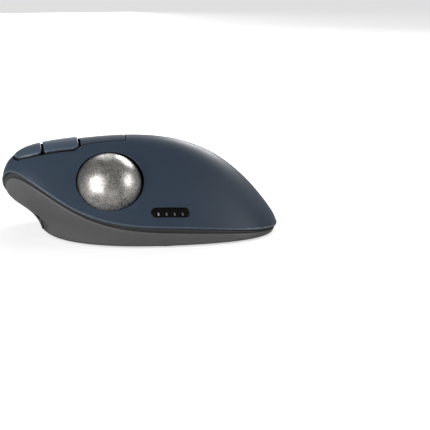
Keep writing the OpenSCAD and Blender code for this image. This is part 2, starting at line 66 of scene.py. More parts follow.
# control values every 20 degrees round the parting line, nose first, thumb side first
RING_X = [3, -19, -33, -44, -51, -50, -45, -36, -20, 2, 24, 38, 47, 50, 50.5, 49, 43, 27]
RING_Z = [30, 38.5, 30.5, 17, 11.5, 10.5, 7.5, 4.7, 3, 2.8, 3.5, 5, 7, 8, 9, 9.5, 10.5, 16]
FOOT_X = [6, -16, -33, -43.5, -48, -48, -45, -37, -22, 1, 20, 34, 42, 45, 45, 43, 37, 24]
FOOT_MID_Y, FOOT_HALF = -9.0, 61.0
# the ridge from nose to tail; its ends lie on the parting line
RIDGE_X = [3, -6, -9, -11, -12, -11, -9, -6, -2, 2]
RIDGE_Z = [30, 43, 49, 51.5, 53.5, 52, 43.5, 26.5, 9.8, 3]
RIDGE_LEAN = [0, 6, 9, 12, 12, 11, 9, 6, 3, 0]

BALL = np.array([-30.0, 20.7, 29.1])
BALL_R = 17.0
BALL_LEAN = 52.3  # how far the opening's axis leans to the thumb side, from straight up
WHEEL = np.array([4.1, 46.0, 35.4])
WHEEL_R, WHEEL_W, WHEEL_LEAN = 12.5, 7.0, 24.0
WINDOW = np.array([-44.9, -8.5, 17.6])
WINDOW_L, WINDOW_H = 20.0, 5.0
USB = np.array([-4.0, 53.0, 7.4])

FORWARD_KEY = [(-7.4, 67.6), (-11.6, 67.2), (-15.4, 65.4), (-18.6, 60), (-20, 52.9), (-7.4, 52.9)]
BACK_KEY = [(-7.4, 52.9), (-20, 52.9), (-22, 37.2), (-20.6, 34.2), (-7.4, 34.2)]
LEFT_KEY = [(-7.4, 65.8), (-7.4, 34.2), (-19.6, 34.2), (-20, 12.4), (-18.8, 10.2), (3.4, 10.2),
            (3.4, 57.2), (8, 57.2), (8, 65.2), (3, 66.4)]
RIGHT_KEY = [(8, 65.2), (8, 57.2), (12.8, 57.2), (12.8, 10.2), (31, 10.2), (33.4, 13.6), (33.6, 34),
             (32, 44), (27.6, 54), (20, 61.4), (14, 64.2)]
KEY_HOLE = [(-7.4, 67.6), (-11.6, 67.2), (-15.4, 65.4), (-18.6, 60), (-20, 52.9), (-22, 37.2),
            (-19.7, 33), (-20, 12.4), (-18.8, 10.2), (3.4, 10.2), (3.4, 33.4),
            (12.8, 33.4), (12.8, 10.2), (31, 10.2), (33.4, 13.6), (33.6, 34), (32, 44), (27.6, 54),
            (20, 61.4), (14, 64.2), (8, 65.2), (3, 66.4), (-7.4, 65.8)]
DPI_KEY = (8.0, 22.0, 11.0, 5.0)  # centre, length, width


def spline_weights(t):
    return np.stack([(1 - t) ** 3, 3 * t**3 - 6 * t**2 + 4, -3 * t**3 + 3 * t**2 + 3 * t + 1, t**3]) / 6


def ring(values, phi):
    """Closed smooth curve through control values every 20 degrees."""
    v, u = np.asarray(values, float), (np.asarray(phi, float) % 360) / 20
    i = np.floor(u).astype(int)
    w = spline_weights(u - i)
    return sum(w[k] * v[(i - 1 + k) % len(v)] for k in range(4))


def along(values, ends, th):
    """Open smooth curve from nose to tail whose ends are given."""
    v = [ends[0], *values[1:-1], ends[1]]
    v = np.array([2 * v[0] - v[1], *v, 2 * v[-1] - v[-2]], float)
    u = np.clip(np.asarray(th, float) / 20, 0, len(v) - 3 - 1e-9)
    i = np.floor(u).astype(int)
    w = spline_weights(u - i)
    return sum(w[k] * v[i + k] for k in range(4))


RIDGE_X_ENDS = (float(ring(RING_X, 0)), float(ring(RING_X, 180)))
RIDGE_Z_ENDS = (float(ring(RING_Z, 0)), float(ring(RING_Z, 180)))


def palm(th, t):
    """Point of the upper casing: th nose (0) to tail (180), t thumb side (0), ridge (1), finger side (2)."""
    th, t = np.broadcast_arrays(np.asarray(th, float), np.asarray(t, float))
    xl, zl = ring(RING_X, th), ring(RING_Z, th)
    xe, ze = ring(RING_X, 360 - th), ring(RING_Z, 360 - th)
    xr, zr = along(RIDGE_X, RIDGE_X_ENDS, th), along(RIDGE_Z, RIDGE_Z_ENDS, th)
    lean = np.tan(np.radians(along(RIDGE_LEAN, (0, 0), th)))
    c = np.abs(np.cos(np.radians(th))) ** 3
    fl, fr = 0.25 + 0.65 * c, 0.78 + 0.12 * c
    dl, dr = xr - xl, xr - xe
    left_x = [xl, xl + 0.4 * (1 - fl) * dl, xr - 0.34 * dl, xr]
    left_z = [zl, zl + 0.4 * (zr - zl), zr + 0.34 * dl * lean, zr]
    right_x = [xr, xr - 0.34 * dr, xe + 0.46 * (1 - fr) * dr, xe]
    right_z = [zr, zr + 0.34 * dr * lean, ze + 0.46 * (zr - ze), ze]
    s = np.where(t <= 1, t, t - 1)
    b = [(1 - s) ** 3, 3 * (1 - s) ** 2 * s, 3 * (1 - s) * s**2, s**3]
    x = np.where(t <= 1, sum(p * q for p, q in zip(b, left_x)), sum(p * q for p, q in zip(b, right_x)))
    z = np.where(t <= 1, sum(p * q for p, q in zip(b, left_z)), sum(p * q for p, q in zip(b, right_z)))
    return np.stack([x, HALF * np.cos(np.radians(th)), z], -1)


def unit(v):
    return v / np.maximum(np.linalg.norm(v, axis=-1, keepdims=True), 1e-12)


def palm_normal(th, t):
    a, u = np.clip(th, 1.5, 178.5), np.clip(t, 0.01, 1.99)
    return unit(np.cross(palm(a + 0.5, u) - palm(a - 0.5, u), palm(a, u + 0.01) - palm(a, u - 0.01)))


def skin(th, t, depth=0.0):
    """The casing's surface moved in by depth along its normal."""
    if np.ndim(depth) == 0 and depth == 0:
        return palm(th, t)
    return palm(th, t) - np.asarray(depth)[..., None] * palm_normal(th, t)


def palm_map(th, t):
    """Flat map of the upper casing, about true to size."""
    th, t = np.asarray(th, float), np.asarray(t, float)
    return np.stack([MAP_RADIUS * np.sin(np.radians(th)) * (t - 1), HALF * (1 - th / 90)], -1)


def palm_unmap(p):
    th = np.clip(90 * (1 - p[..., 1] / HALF), 0.02, 179.98)
    return th, np.clip(1 + p[..., 0] / (MAP_RADIUS * np.sin(np.radians(th))), 0, 2)


class Axes:
    """A direction to look along, with the plane across it."""

    def __init__(self, origin, x, y, z):
        self.o, self.x, self.y, self.z = (np.asarray(v, float) for v in (origin, x, y, z))

    def flat(self, p):
        q = p - self.o
        return np.stack([q @ self.x, q @ self.y], -1)

    def solid(self, flat, height=0.0):
        h = np.broadcast_to(np.asarray(height, float), flat.shape[:-1])
        return self.o + flat[..., :1] * self.x + flat[..., 1:] * self.y + h[..., None] * self.z

    def height(self, p):
        return (p - self.o) @ self.z


def leaning(origin, lean, yaw=0.0, roll=0.0):
    """Axes whose z leans by an angle to the thumb side, then turns about the vertical."""
    m = Matrix.Rotation(math.radians(yaw), 3, "Z") @ Matrix.Rotation(math.radians(roll), 3, "X") \
        @ Matrix.Rotation(math.radians(-lean), 3, "Y")
    return Axes(origin, *[np.array(m.col[k]) for k in range(3)])


UP = Axes((0, 0, 0), (1, 0, 0), (0, 1, 0), (0, 0, 1))
BALL_AXES = leaning(BALL, BALL_LEAN)
WINDOW_AXES = leaning(WINDOW, 56, 6, 3)
_th, _t = np.meshgrid(np.linspace(3, 177, 88), np.linspace(0.02, 1.98, 99))
SAMPLES = (_th.ravel(), _t.ravel(), palm(_th, _t).reshape(-1, 3), palm_normal(_th, _t).reshape(-1, 3))


def find(flat, axes, depth=0.0):
    """Where the casing's skin lies over points of the plane across axes."""
    th0, t0, pos, nor = SAMPLES
    seen = (nor @ axes.z) > 0.15
    q = axes.flat(pos[seen])
    near = ((flat[:, None, :] - q[None]) ** 2).sum(-1).argmin(1)
    th, t = th0[seen][near].copy(), t0[seen][near].copy()
    for _ in range(14):
        r = axes.flat(skin(th, t, depth)) - flat
        a = (axes.flat(skin(th + 0.05, t, depth)) - flat - r) / 0.05
        b = (axes.flat(skin(th, t + 0.0005, depth)) - flat - r) / 0.0005
        det = a[:, 0] * b[:, 1] - a[:, 1] * b[:, 0]
        det = np.where(np.abs(det) < 1e-9, 1e-9, det)
        th = np.clip(th - np.clip((r[:, 0] * b[:, 1] - r[:, 1] * b[:, 0]) / det, -6, 6), 0.3, 179.7)
        t = np.clip(t - np.clip((a[:, 0] * r[:, 1] - a[:, 1] * r[:, 0]) / det, -0.1, 0.1), 0.001, 1.999)
    return th, t


# ---------------------------------------------------------------- outlines
def outline(points, radius, step=0.9):
    """Polygon with rounded corners: points along it and the outward direction at each.
    Shallow corners, which stand for a curve, are rounded as far as their sides allow."""
    p = np.asarray(points, float)
    if sum(a[0] * b[1] - a[1] * b[0] for a, b in zip(p, np.roll(p, -1, 0))) < 0:
        p = p[::-1]
    n = len(p)
    pts, nor = [], []
    arcs = []
    for i in range(n):
        a, b = unit(p[i] - p[i - 1]), unit(p[(i + 1) % n] - p[i])
        turn = math.atan2(a[0] * b[1] - a[1] * b[0], float(a @ b))
        reach = min((radius if abs(turn) > 0.55 else 15.0) * math.tan(abs(turn) / 2),
                    0.46 * np.linalg.norm(p[i] - p[i - 1]), 0.46 * np.linalg.norm(p[(i + 1) % n] - p[i]))
        rounding = reach / max(math.tan(abs(turn) / 2), 1e-9)
        arcs.append((p[i] - a * reach, p[i] + b * reach, turn, rounding, a, b))
    for i in range(n):
        start, end, turn, r, a, b = arcs[i]
        out = np.array([a[1], -a[0]])
        centre = start - out * r * (1 if turn > 0 else -1)
        k = max(3, int(abs(turn) * r / (0.45 * step)) + 1)
        for j in range(k + 1):
            c, s = math.cos(turn * j / k), math.sin(turn * j / k)
            d = np.array([out[0] * c - out[1] * s, out[0] * s + out[1] * c])
            pts.append(centre + d * r * (1 if turn > 0 else -1))
            nor.append(d)
        nxt = arcs[(i + 1) % n][0]
        gap = np.linalg.norm(nxt - end)
        m = int(gap / step)
        for j in range(1, m + 1):
            pts.append(end + (nxt - end) * j / (m + 1))
            nor.append(np.array([b[1], -b[0]]))
    pts, nor = np.array(pts), np.array(nor)
    keep = np.linalg.norm(pts - np.roll(pts, 1, 0), axis=1) > 1e-4
    return pts[keep], nor[keep]


def pill(cx, cy, length, width, step=0.5):
    """Pill outline, long along y."""
    r, h = width / 2, (length - width) / 2
    pts, nor = [], []
    k = max(12, int(math.pi * r / step))
    for side in (1, -1):
        for j in range(k + 1):
            g = math.pi * j / k + (0 if side > 0 else math.pi)
            d = np.array([math.cos(g), math.sin(g)])
            pts.append(np.array([cx, cy + side * h]) + r * d)
            nor.append(d)
        m = int(2 * h / (2 * step))
        for j in range(1, m):
            x = cx - side * r
            pts.append(np.array([x, cy + side * h - side * 2 * h * j / m]))
            nor.append(np.array([-side, 0.0]))
    return np.array(pts), np.array(nor)


def across(line):
    """An outline turned a quarter turn."""
    return tuple(part[:, ::-1] * [-1, 1] for part in line)


def ellipse(rx, ry, count):
    g = np.linspace(0, 2 * math.pi, count, endpoint=False)
    c, s = np.cos(g), np.sin(g)
    return np.stack([rx * c, ry * s], -1), unit(np.stack([ry * c, rx * s], -1))


def circle(cx, cy, r, count=72):
    g = np.linspace(0, 2 * math.pi, count, endpoint=False)
    d = np.stack([np.cos(g), np.sin(g)], -1)
    return np.array([cx, cy]) + r * d, d


# ---------------------------------------------------------------- mesh building
BATCH = 4000  # points tested at a time


def inside(points, loop):
    """Even-odd test of many points against a closed loop."""
    x, y = points[:, 0][:, None], points[:, 1][:, None]
    a, b = loop, np.roll(loop, -1, 0)
    cross = (a[:, 1][None] > y) != (b[:, 1][None] > y)
    with np.errstate(divide="ignore", invalid="ignore"):
        at = (b[:, 0] - a[:, 0])[None] * (y - a[:, 1][None]) / (b[:, 1] - a[:, 1])[None] + a[:, 0][None]
    return (np.where(cross, x < at, False).sum(1) % 2) == 1


def clear_of(points, loop, gap):
    """Which points are further than gap from every side of a closed loop."""
    a, b = loop[None], np.roll(loop, -1, 0)[None]
    d = b - a
    keep = np.ones(len(points), bool)
    for k in range(0, len(points), BATCH):
        p = points[k:k + BATCH, None]
        s = np.clip(((p - a) * d).sum(-1) / np.maximum((d * d).sum(-1), 1e-12), 0, 1)
        keep[k:k + BATCH] = (np.linalg.norm(p - a - s[..., None] * d, axis=-1)).min(1) > gap
    return keep


class Piece:
    """Collects rings, strips and filled sheets, then becomes one object."""

    def __init__(self):
        self.co, self.faces, self.mat, self.nor, self.wear = [], [], [], {}, []

    def add(self, pts, normals=None, wear=0.0):
        """Points, their shading normals where the casing gives them, and how much they are rubbed."""
        first = len(self.co)
        self.co.extend(np.asarray(pts, float).tolist())
        self.wear.extend([wear] * len(pts))
        if normals is not None:
            for k, n in enumerate(normals):
                self.nor[first + k] = n
        return np.arange(first, first + len(pts))

    def strip(self, a, b, mat=0, flip=False):
        n = len(a)
        for i in range(n):
            j = (i + 1) % n
            f = (a[i], a[j], b[j], b[i])
            self.faces.append(tuple(int(v) for v in (f[::-1] if flip else f)))
            self.mat.append(mat)

    def rings(self, loops, mat=0, flip=False, first=None, wear=0.0):
        """Loops joined one to the next; first is the ids of a loop that is already there."""
        ids = ([] if first is None else [first]) + [self.add(l, wear=wear) for l in loops]
        for a, b in zip(ids, ids[1:]):
            self.strip(a, b, mat, flip)
        return ids

    def cap(self, ids, flip=False):
        f = tuple(int(v) for v in ids)
        self.faces.append(f[::-1] if flip else f)
        self.mat.append(0)

    def fill(self, outer, holes, spacing, place, normal, back, flip=False):
        """Triangles between closed loops (ids and flat points) over a surface; place and normal take
        flat points. The sheet is then copied to where back puts it, and the copy's ids are returned."""
        loops = [outer, *holes]
        flat = np.concatenate([l[1] for l in loops])
        ids = np.concatenate([l[0] for l in loops])
        lo, hi = outer[1].min(0), outer[1].max(0)
        rows = np.arange(lo[1], hi[1], spacing * 0.866)
        grid = np.array([(x + (k % 2) * spacing / 2, y) for k, y in enumerate(rows)
                         for x in np.arange(lo[0], hi[0], spacing)])
        grid = grid[inside(grid, outer[1])]
        grid = grid[clear_of(grid, outer[1], 0.55 * spacing)]
        for _, loop in holes:
            grid = grid[~inside(grid, loop)]
            grid = grid[clear_of(grid, loop, 0.55 * spacing)]
        inner = self.add(place(grid), normal and normal(grid))
        all_ids = np.concatenate([ids, inner]).astype(int)
        pts = np.concatenate([flat, grid])
        edges, n0 = [], 0
        for _, loop in loops:
            n = len(loop)
            edges += [(n0 + i, n0 + (i + 1) % n) for i in range(n)]
            n0 += n
        out = delaunay_2d_cdt([Vector(p) for p in pts], edges, [], 0, 1e-7)
        vid = [int(all_ids[o[0]]) if o else -1 for o in out[3]]
        flat_out = np.array([(v[0], v[1]) for v in out[0]])
        tris = np.array([f for f in out[2] if len(f) == 3 and all(vid[v] >= 0 for v in f)])
        mid = flat_out[tris].mean(1)
        keep = inside(mid, outer[1])
        for _, loop in holes:
            keep &= ~inside(mid, loop)
        made = []
        for f in tris[keep]:
            a, b, c = (vid[v] for v in f)
            p, q, r = flat_out[f[0]], flat_out[f[1]], flat_out[f[2]]
            if (q[0] - p[0]) * (r[1] - p[1]) - (q[1] - p[1]) * (r[0] - p[0]) < 0:
                b, c = c, b
            made.append((a, c, b) if flip else (a, b, c))
        self.faces += made
        self.mat += [0] * len(made)
        used = np.array(sorted({v for f in made for v in f}))
        where = {int(all_ids[k]): pts[k] for k in range(len(all_ids))}
        at = np.array([where[int(v)] for v in used])
        copy = self.add(back(at))
        turn = dict(zip(used.tolist(), copy.tolist()))
        for a, b, c in made:
            self.faces.append((turn[a], turn[c], turn[b]))
            self.mat.append(0)
        return turn

    def make(self, name, materials):
        mesh = bpy.data.meshes.new(name)
        mesh.from_pydata((np.array(self.co) * MM).tolist(), [], self.faces)
        for m in materials:
            mesh.materials.append(m)
        mesh.polygons.foreach_set("material_index", self.mat)
        mesh.polygons.foreach_set("use_smooth", [True] * len(mesh.polygons))
        mesh.validate()
        if self.nor:
            normals = np.zeros((len(mesh.vertices), 3))
            for k, n in self.nor.items():
                normals[k] = n
            mesh.normals_split_custom_set_from_vertices(normals.tolist())
        mesh.attributes.new("wear", "FLOAT", "POINT").data.foreach_set("value", self.wear)
        obj = bpy.data.objects.new(name, mesh)
        bpy.context.scene.collection.objects.link(obj)
        return obj


def fillet(count, radius):
    """(distance from the wall, depth) pairs round a quarter circle, skin first."""
    return [(radius * (1 - math.sin(g)), radius * (1 - math.cos(g)))
            for g in np.linspace(0, math.pi / 2, count + 1)]


def edge(piece, line, axes, radius, sign, depth=0.0, wall=2.0, floor_at=None, mat=0, deep=0, count=5):
    """A rounded edge and the wall under it, along an outline of the casing seen along axes.
    sign +1: a hole, with the skin outside the outline; -1: a key. The wall goes down by a length, or to
    a height above the axes' plane, and deep is its material. Returns the skin loop's ids and map points,
    and the last loop's ids."""
    pts, nor = line
    flip = sign < 0
    for k, (gap, drop) in enumerate(fillet(count, radius)):
        th, t = find(pts + sign * gap * nor, axes, depth)
        on = skin(th, t, depth)
        if k == 0:
            top = piece.add(on, palm_normal(th, t))
            flat, last = palm_map(th, t), top
        else:
            ids = piece.add(on - drop * axes.z, wear=1.0 if k < count else 0.4)
            piece.strip(last, ids, mat, flip)
            last = ids
    fall = np.full(len(on), wall)
    if floor_at is not None:
        fall = np.maximum(axes.height(on) - floor_at, radius + 0.5)
    low = [on - (radius + 0.25) * axes.z, on - fall[:, None] * axes.z]
    last = piece.rings(low, deep, flip, first=last)[-1]
    return top, flat, last


def moved(line, out):
    return line[0] + out * line[1], line[1]


def level(flat, z):
    """Points of a horizontal plane."""
    return np.column_stack([flat, np.full(len(flat), z)])


# ---------------------------------------------------------------- shape of the base
PHIS = np.linspace(0, 360, 240, endpoint=False)
WALL_T = 2.6
FLOOR_Z, ROOF_Z = BASE_Z, 2.8  # the two faces of the base's floor


def wall(phi, s, depth=0.0, up=0.0):
    """The lower casing's side: s goes from the parting line (0) to the floor (1)."""
    def at(a):
        c = np.cos(np.radians(a))
        f = s - 0.5 * np.maximum(0, c) ** 2 * np.sin(2 * np.pi * s) / 6.28
        x, y, z = ring(RING_X, a), HALF * c, ring(RING_Z, a)
        return np.stack([x + f * (ring(FOOT_X, a) - x), y + f * (FOOT_MID_Y + FOOT_HALF * c - y),
                         z + s * (BASE_Z - z)], -1)
    q = at(phi + 1) - at(phi - 1)
    n = unit(np.stack([q[..., 1], -q[..., 0], 0 * q[..., 0]], -1))
    return at(phi) - np.asarray(depth)[..., None] * n + np.array([0, 0, 1.0]) * np.asarray(up)[..., None]


def strip_share(phi):
    """Share of the side that the dark strip under the parting line takes."""
    return np.minimum(3 / (ring(RING_Z, phi) - BASE_Z), 0.32)


def side_map(phi, z):
    """Flat map of the base's side: rings round a centre, the floor's edge outermost."""
    a, r = np.radians(phi), MAP_RADIUS - (z - BASE_Z)
    return np.stack([-r * np.sin(a), r * np.cos(a)], -1)


def side_unmap(p):
    r = np.linalg.norm(p, axis=-1)
    return np.degrees(np.arctan2(-p[..., 0], p[..., 1])) % 360, MAP_RADIUS - r + BASE_Z


def side_point(phi, z, depth=0.0):
    top = ring(RING_Z, phi)
    return wall(phi, (top - z) / (top - BASE_Z), depth)


def side_under(x, z):
    """Bearing at which the front of the base passes over a point given by x and z."""
    lo, hi = np.full(len(x), -60.0), np.full(len(x), 60.0)
    for _ in range(40):
        mid = (lo + hi) / 2
        left = side_point(mid, z)[:, 0] > x
        lo, hi = np.where(left, mid, lo), np.where(left, hi, mid)
    return mid


# ---------------------------------------------------------------- finishes
def srgb(*c):
    """Colour given as 0-255 values on screen, as linear light."""
    return tuple(v / 12.92 if v <= 0.04045 else ((v + 0.055) / 1.055) ** 2.4 for v in (k / 255 for k in c))


def group(name, inputs, outputs):
    """Node group whose sockets are all plain numbers."""
    g = bpy.data.node_groups.new(name, "ShaderNodeTree")
    for label, value in inputs:
        s = g.interface.new_socket(label, in_out="INPUT", socket_type="NodeSocketFloat")
        s.default_value = value
    for label in outputs:
        g.interface.new_socket(label, in_out="OUTPUT", socket_type="NodeSocketFloat")
    return g, g.nodes.new("NodeGroupInput"), g.nodes.new("NodeGroupOutput")


def node(tree, kind, links=(), **values):
    n = tree.nodes.new(kind)
    for key, value in values.items():
        setattr(n, key, value)
    for socket, source in dict(links).items():
        if isinstance(source, bpy.types.NodeSocket):
            tree.links.new(source, n.inputs[socket])
        else:
            n.inputs[socket].default_value = source
    return n


def math_node(tree, what, a, b=0.0, clamp=False):
    return node(tree, "ShaderNodeMath", {0: a, 1: b}, operation=what, use_clamp=clamp).outputs[0]


def object_place(tree):
    return node(tree, "ShaderNodeTexCoord").outputs["Object"]


def per_mm(tree, size):
    """Texture scale that gives a grain of so many millimetres."""
    return math_node(tree, "DIVIDE", 1.0 / MM, size)


def noise(tree, scale, at=None, **more):
    links = {"Vector": at or object_place(tree), "Scale": scale, **more}
    return node(tree, "ShaderNodeTexNoise", links).outputs["Fac"]


def grain_group():
    """Fine moulded grain with slow patches of gloss."""
    g, i, o = group("Moulded Grain", [("Grain Size", 0.25), ("Patch Size", 12.0), ("Roughness", 0.45),
                                      ("Spread", 0.06)], ["Height", "Roughness", "Patch"])
    pos = object_place(g)
    fine = per_mm(g, i.outputs["Grain Size"])
    pits = node(g, "ShaderNodeTexVoronoi", {"Vector": pos, "Scale": fine}).outputs["Distance"]
    haze = noise(g, fine, pos, Detail=2.0)
    patch = noise(g, per_mm(g, i.outputs["Patch Size"]), pos, Detail=3.0)
    g.links.new(math_node(g, "ADD", math_node(g, "MULTIPLY", pits, 0.6), haze), o.inputs["Height"])
    swing = math_node(g, "MULTIPLY", math_node(g, "SUBTRACT", patch, 0.5), i.outputs["Spread"])
    gloss = math_node(g, "ADD", i.outputs["Roughness"], math_node(g, "MULTIPLY", swing, 2.0))
    g.links.new(gloss, o.inputs["Roughness"])
    g.links.new(patch, o.inputs["Patch"])
    return g


def wear_group():
    """Mask of rubbed edges, broken up by noise."""
    g, i, o = group("Rubbed Edges", [("Size", 2.5), ("Amount", 0.5)], ["Mask"])
    rub = node(g, "ShaderNodeAttribute", attribute_name="wear").outputs["Fac"]
    spots = noise(g, per_mm(g, i.outputs["Size"]), Detail=4.0)
    spots = math_node(g, "MULTIPLY", math_node(g, "SUBTRACT", spots, 0.35), 2.2, clamp=True)
    mask = math_node(g, "MULTIPLY", math_node(g, "MULTIPLY", rub, spots), i.outputs["Amount"], clamp=True)
    g.links.new(mask, o.inputs["Mask"])
    return g


def dust_group():
    """Dust that settles on faces turned up, thin and uneven."""
    g, i, o = group("Settled Dust", [("Size", 1.2), ("Amount", 0.05)], ["Mask"])
    facing = node(g, "ShaderNodeNewGeometry").outputs["Normal"]
    up = node(g, "ShaderNodeSeparateXYZ", {0: facing}).outputs["Z"]
    spots = noise(g, per_mm(g, i.outputs["Size"]), Detail=6.0, Roughness=0.7)
    face = math_node(g, "ADD", math_node(g, "MULTIPLY", up, 0.6), 0.4, clamp=True)
    mask = math_node(g, "MULTIPLY", math_node(g, "MULTIPLY", face, spots), i.outputs["Amount"], clamp=True)
    g.links.new(mask, o.inputs["Mask"])
    return g


GROUPS = {}


def shared(tree, key, make, **values):
    if key not in GROUPS:
        GROUPS[key] = make()
    n = tree.nodes.new("ShaderNodeGroup")
    n.node_tree = GROUPS[key]
    for name, value in values.items():
        n.inputs[name.replace("_", " ")].default_value = value
    return n


def blank(name):
    m = bpy.data.materials.new(name)
    m.use_nodes = True
    return m, m.node_tree, m.node_tree.nodes["Principled BSDF"]


def mix_colour(tree, fac, a, b):
    n = tree.nodes.new("ShaderNodeMix")
    n.data_type = "RGBA"
    for socket, source in ((n.inputs[0], fac), (n.inputs[6], a), (n.inputs[7], b)):
        if isinstance(source, bpy.types.NodeSocket):
            tree.links.new(source, socket)
        else:
            socket.default_value = source if isinstance(source, float) else (*source, 1)
    return n.outputs[2]


def bump(tree, bsdf, height, depth):
    """Bump whose full swing is a depth in millimetres."""
    n = node(tree, "ShaderNodeBump", {"Height": height, "Strength": 1.0, "Distance": depth * MM})
    tree.links.new(n.outputs[0], bsdf.inputs["Normal"])


def moulded(name, colour, roughness, grain=0.25, depth=0.004, spread=0.05, tint=0.06, wear=0.5, dust=0.04,
            specular=0.5, coat=0.0):
    """Moulded or painted plastic: grain, patches of gloss, rubbed edges and a little dust."""
    m, t, b = blank(name)
    g = shared(t, "grain", grain_group, Grain_Size=grain, Roughness=roughness, Spread=spread)
    darker, lighter = (tuple(c * k for c in colour) for k in (1 - tint, 1 + tint))
    base = mix_colour(t, g.outputs["Patch"], darker, lighter)
    rub = shared(t, "wear", wear_group, Amount=wear)
    base = mix_colour(t, rub.outputs["Mask"], base, tuple(min(1, c * 1.9 + 0.01) for c in colour))
    film = shared(t, "dust", dust_group, Amount=dust)
    base = mix_colour(t, film.outputs["Mask"], base, srgb(170, 168, 162))
    t.links.new(base, b.inputs["Base Color"])
    polish = math_node(t, "MULTIPLY", rub.outputs["Mask"], 0.12)
    t.links.new(math_node(t, "SUBTRACT", g.outputs["Roughness"], polish), b.inputs["Roughness"])
    b.inputs["Specular IOR Level"].default_value = specular
    b.inputs["Coat Weight"].default_value = coat
    b.inputs["Coat Roughness"].default_value = 0.12
    bump(t, b, g.outputs["Height"], depth)
    return m


def metal(name, colour, roughness, size=0.6, stretch=(1.0, 1.0, 1.0), depth=0.002):
    """Drawn or turned metal with fine streaks."""
    m, t, b = blank(name)
    run = node(t, "ShaderNodeMapping", {"Vector": object_place(t), "Scale": stretch}).outputs[0]
    streak = noise(t, 1 / (size * MM), run, Detail=4.0)
    t.links.new(mix_colour(t, streak, tuple(c * 0.82 for c in colour), colour), b.inputs["Base Color"])
    gloss = math_node(t, "MULTIPLY", streak, 0.18)
    t.links.new(math_node(t, "ADD", gloss, roughness - 0.09), b.inputs["Roughness"])
    b.inputs["Metallic"].default_value = 1.0
    bump(t, b, streak, depth)
    return m


def board(name):
    """Circuit board: solder mask over copper tracks."""
    m, t, b = blank(name)
    mask, mask_pale, track = ((*srgb(*c), 1) for c in ((16, 84, 48), (22, 96, 56), (52, 128, 74)))
    tracks = node(t, "ShaderNodeTexBrick", {"Vector": object_place(t), "Scale": 0.35 / MM,
                                            "Mortar Size": 0.035, "Color1": mask, "Color2": mask_pale,
                                            "Mortar": track})
    t.links.new(tracks.outputs["Color"], b.inputs["Base Color"])
    g = shared(t, "grain", grain_group, Grain_Size=0.4, Roughness=0.32, Spread=0.05)
    t.links.new(g.outputs["Roughness"], b.inputs["Roughness"])
    bump(t, b, tracks.outputs["Fac"], 0.01)
    return m


def speckled_lacquer(name, light, dark, coat_rough):
    """Metal flake under clear lacquer, in grains of several sizes."""
    m, t, b = blank(name)
    pos = object_place(t)
    fine = noise(t, 1 / (0.75 * MM), pos, Detail=3.0, Roughness=0.75)
    cloud = noise(t, 1 / (5.0 * MM), pos, Detail=2.0)
    flake = node(t, "ShaderNodeTexVoronoi", {"Vector": pos, "Scale": 1 / (0.42 * MM)})
    chance = node(t, "ShaderNodeSeparateColor", {0: flake.outputs["Color"]}).outputs[0]
    spark = math_node(t, "GREATER_THAN", chance, 0.8)
    mixed = math_node(t, "ADD", math_node(t, "MULTIPLY", fine, 0.75), math_node(t, "MULTIPLY", cloud, 0.3))
    ramp = node(t, "ShaderNodeMapRange", {"Value": mixed, "From Min": 0.4, "From Max": 0.62}).outputs[0]
    colour = mix_colour(t, ramp, dark, light)
    colour = mix_colour(t, math_node(t, "MULTIPLY", spark, 0.22), colour, srgb(240, 238, 234))
    t.links.new(colour, b.inputs["Base Color"])
    t.links.new(math_node(t, "ADD", math_node(t, "MULTIPLY", ramp, -0.08), 0.41), b.inputs["Roughness"])
    b.inputs["Metallic"].default_value = 0.9
    b.inputs["Coat Weight"].default_value = 0.35
    b.inputs["Coat Roughness"].default_value = coat_rough
    bump(t, b, mixed, 0.012)
    return m


def clear(name, colour):
    m, t, b = blank(name)
    g = shared(t, "grain", grain_group, Grain_Size=0.8, Roughness=0.06, Spread=0.02)
    b.inputs["Base Color"].default_value = (*colour, 1)
    b.inputs["Transmission Weight"].default_value = 0.85
    t.links.new(g.outputs["Roughness"], b.inputs["Roughness"])
    return m


def glowing_guide(name, colour, strength):
    """A light guide: dim milky plastic with a painted glow from its emission; no lamp stands behind it."""
    m, t, b = blank(name)
    g = shared(t, "grain", grain_group, Grain_Size=0.3, Roughness=0.35, Spread=0.05)
    milk = mix_colour(t, g.outputs["Patch"], tuple(c * 0.8 for c in colour), colour)
    t.links.new(milk, b.inputs["Base Color"])
    b.inputs["Emission Strength"].default_value = strength
    b.inputs["Emission Color"].default_value = (*colour, 1)
    t.links.new(g.outputs["Roughness"], b.inputs["Roughness"])
    return m


MATERIALS = {}


def material(key, make=None):
    if key not in MATERIALS:
        MATERIALS[key] = make()
    return MATERIALS[key]


# ---------------------------------------------------------------- what a user would change
def length(name, description, mm, low, high):
    return bpy.props.FloatProperty(name=name, description=description, default=mm * MM, min=low * MM,
                                   max=high * MM, subtype="DISTANCE", unit="LENGTH")


def tint(name, description, *shade):
    return bpy.props.FloatVectorProperty(name=name, description=description, default=srgb(*shade), size=3,
                                         subtype="COLOR", min=0, max=1)


class ShellSettings(bpy.types.PropertyGroup):
    wall: length("Wall", "Thickness of the palm shell", 2.2, 1.5, 3)
    key_gap: length("Key gap", "Gap round each key", 1.2, 0.5, 1.6)
    edge: length("Edge radius", "Rounding of the keys and their holes", 0.3, 0.2, 0.6)
    bead: length("Bead", "Width of the pale bead along the shell's lower edge", 0.9, 0.6, 2)
    fineness: length("Mesh size", "Size of the triangles on the palm shell", 1.25, 0.8, 2.5)


class ColourSettings(bpy.types.PropertyGroup):
    shell: tint("Shell", "Colour of the palm shell and main keys", 53, 68, 86)
    side_keys: tint("Side keys", "Colour of the small keys", 76, 91, 108)
    # paler than the shell: painted highlight along the bead
    bead: tint("Bead", "Colour of the shell's lower edge", 86, 98, 112)
    # dark grey: painted shade in the recess under the shell's edge
    strip: tint("Strip", "Colour of the recessed strip", 64, 64, 66)
    base: tint("Base", "Colour of the lower casing", 102, 101, 101)
    ball_light: tint("Ball flakes", "Lighter grains of the ball", 244, 240, 235)
    ball_dark: tint("Ball ground", "Darker grains of the ball", 122, 117, 112)


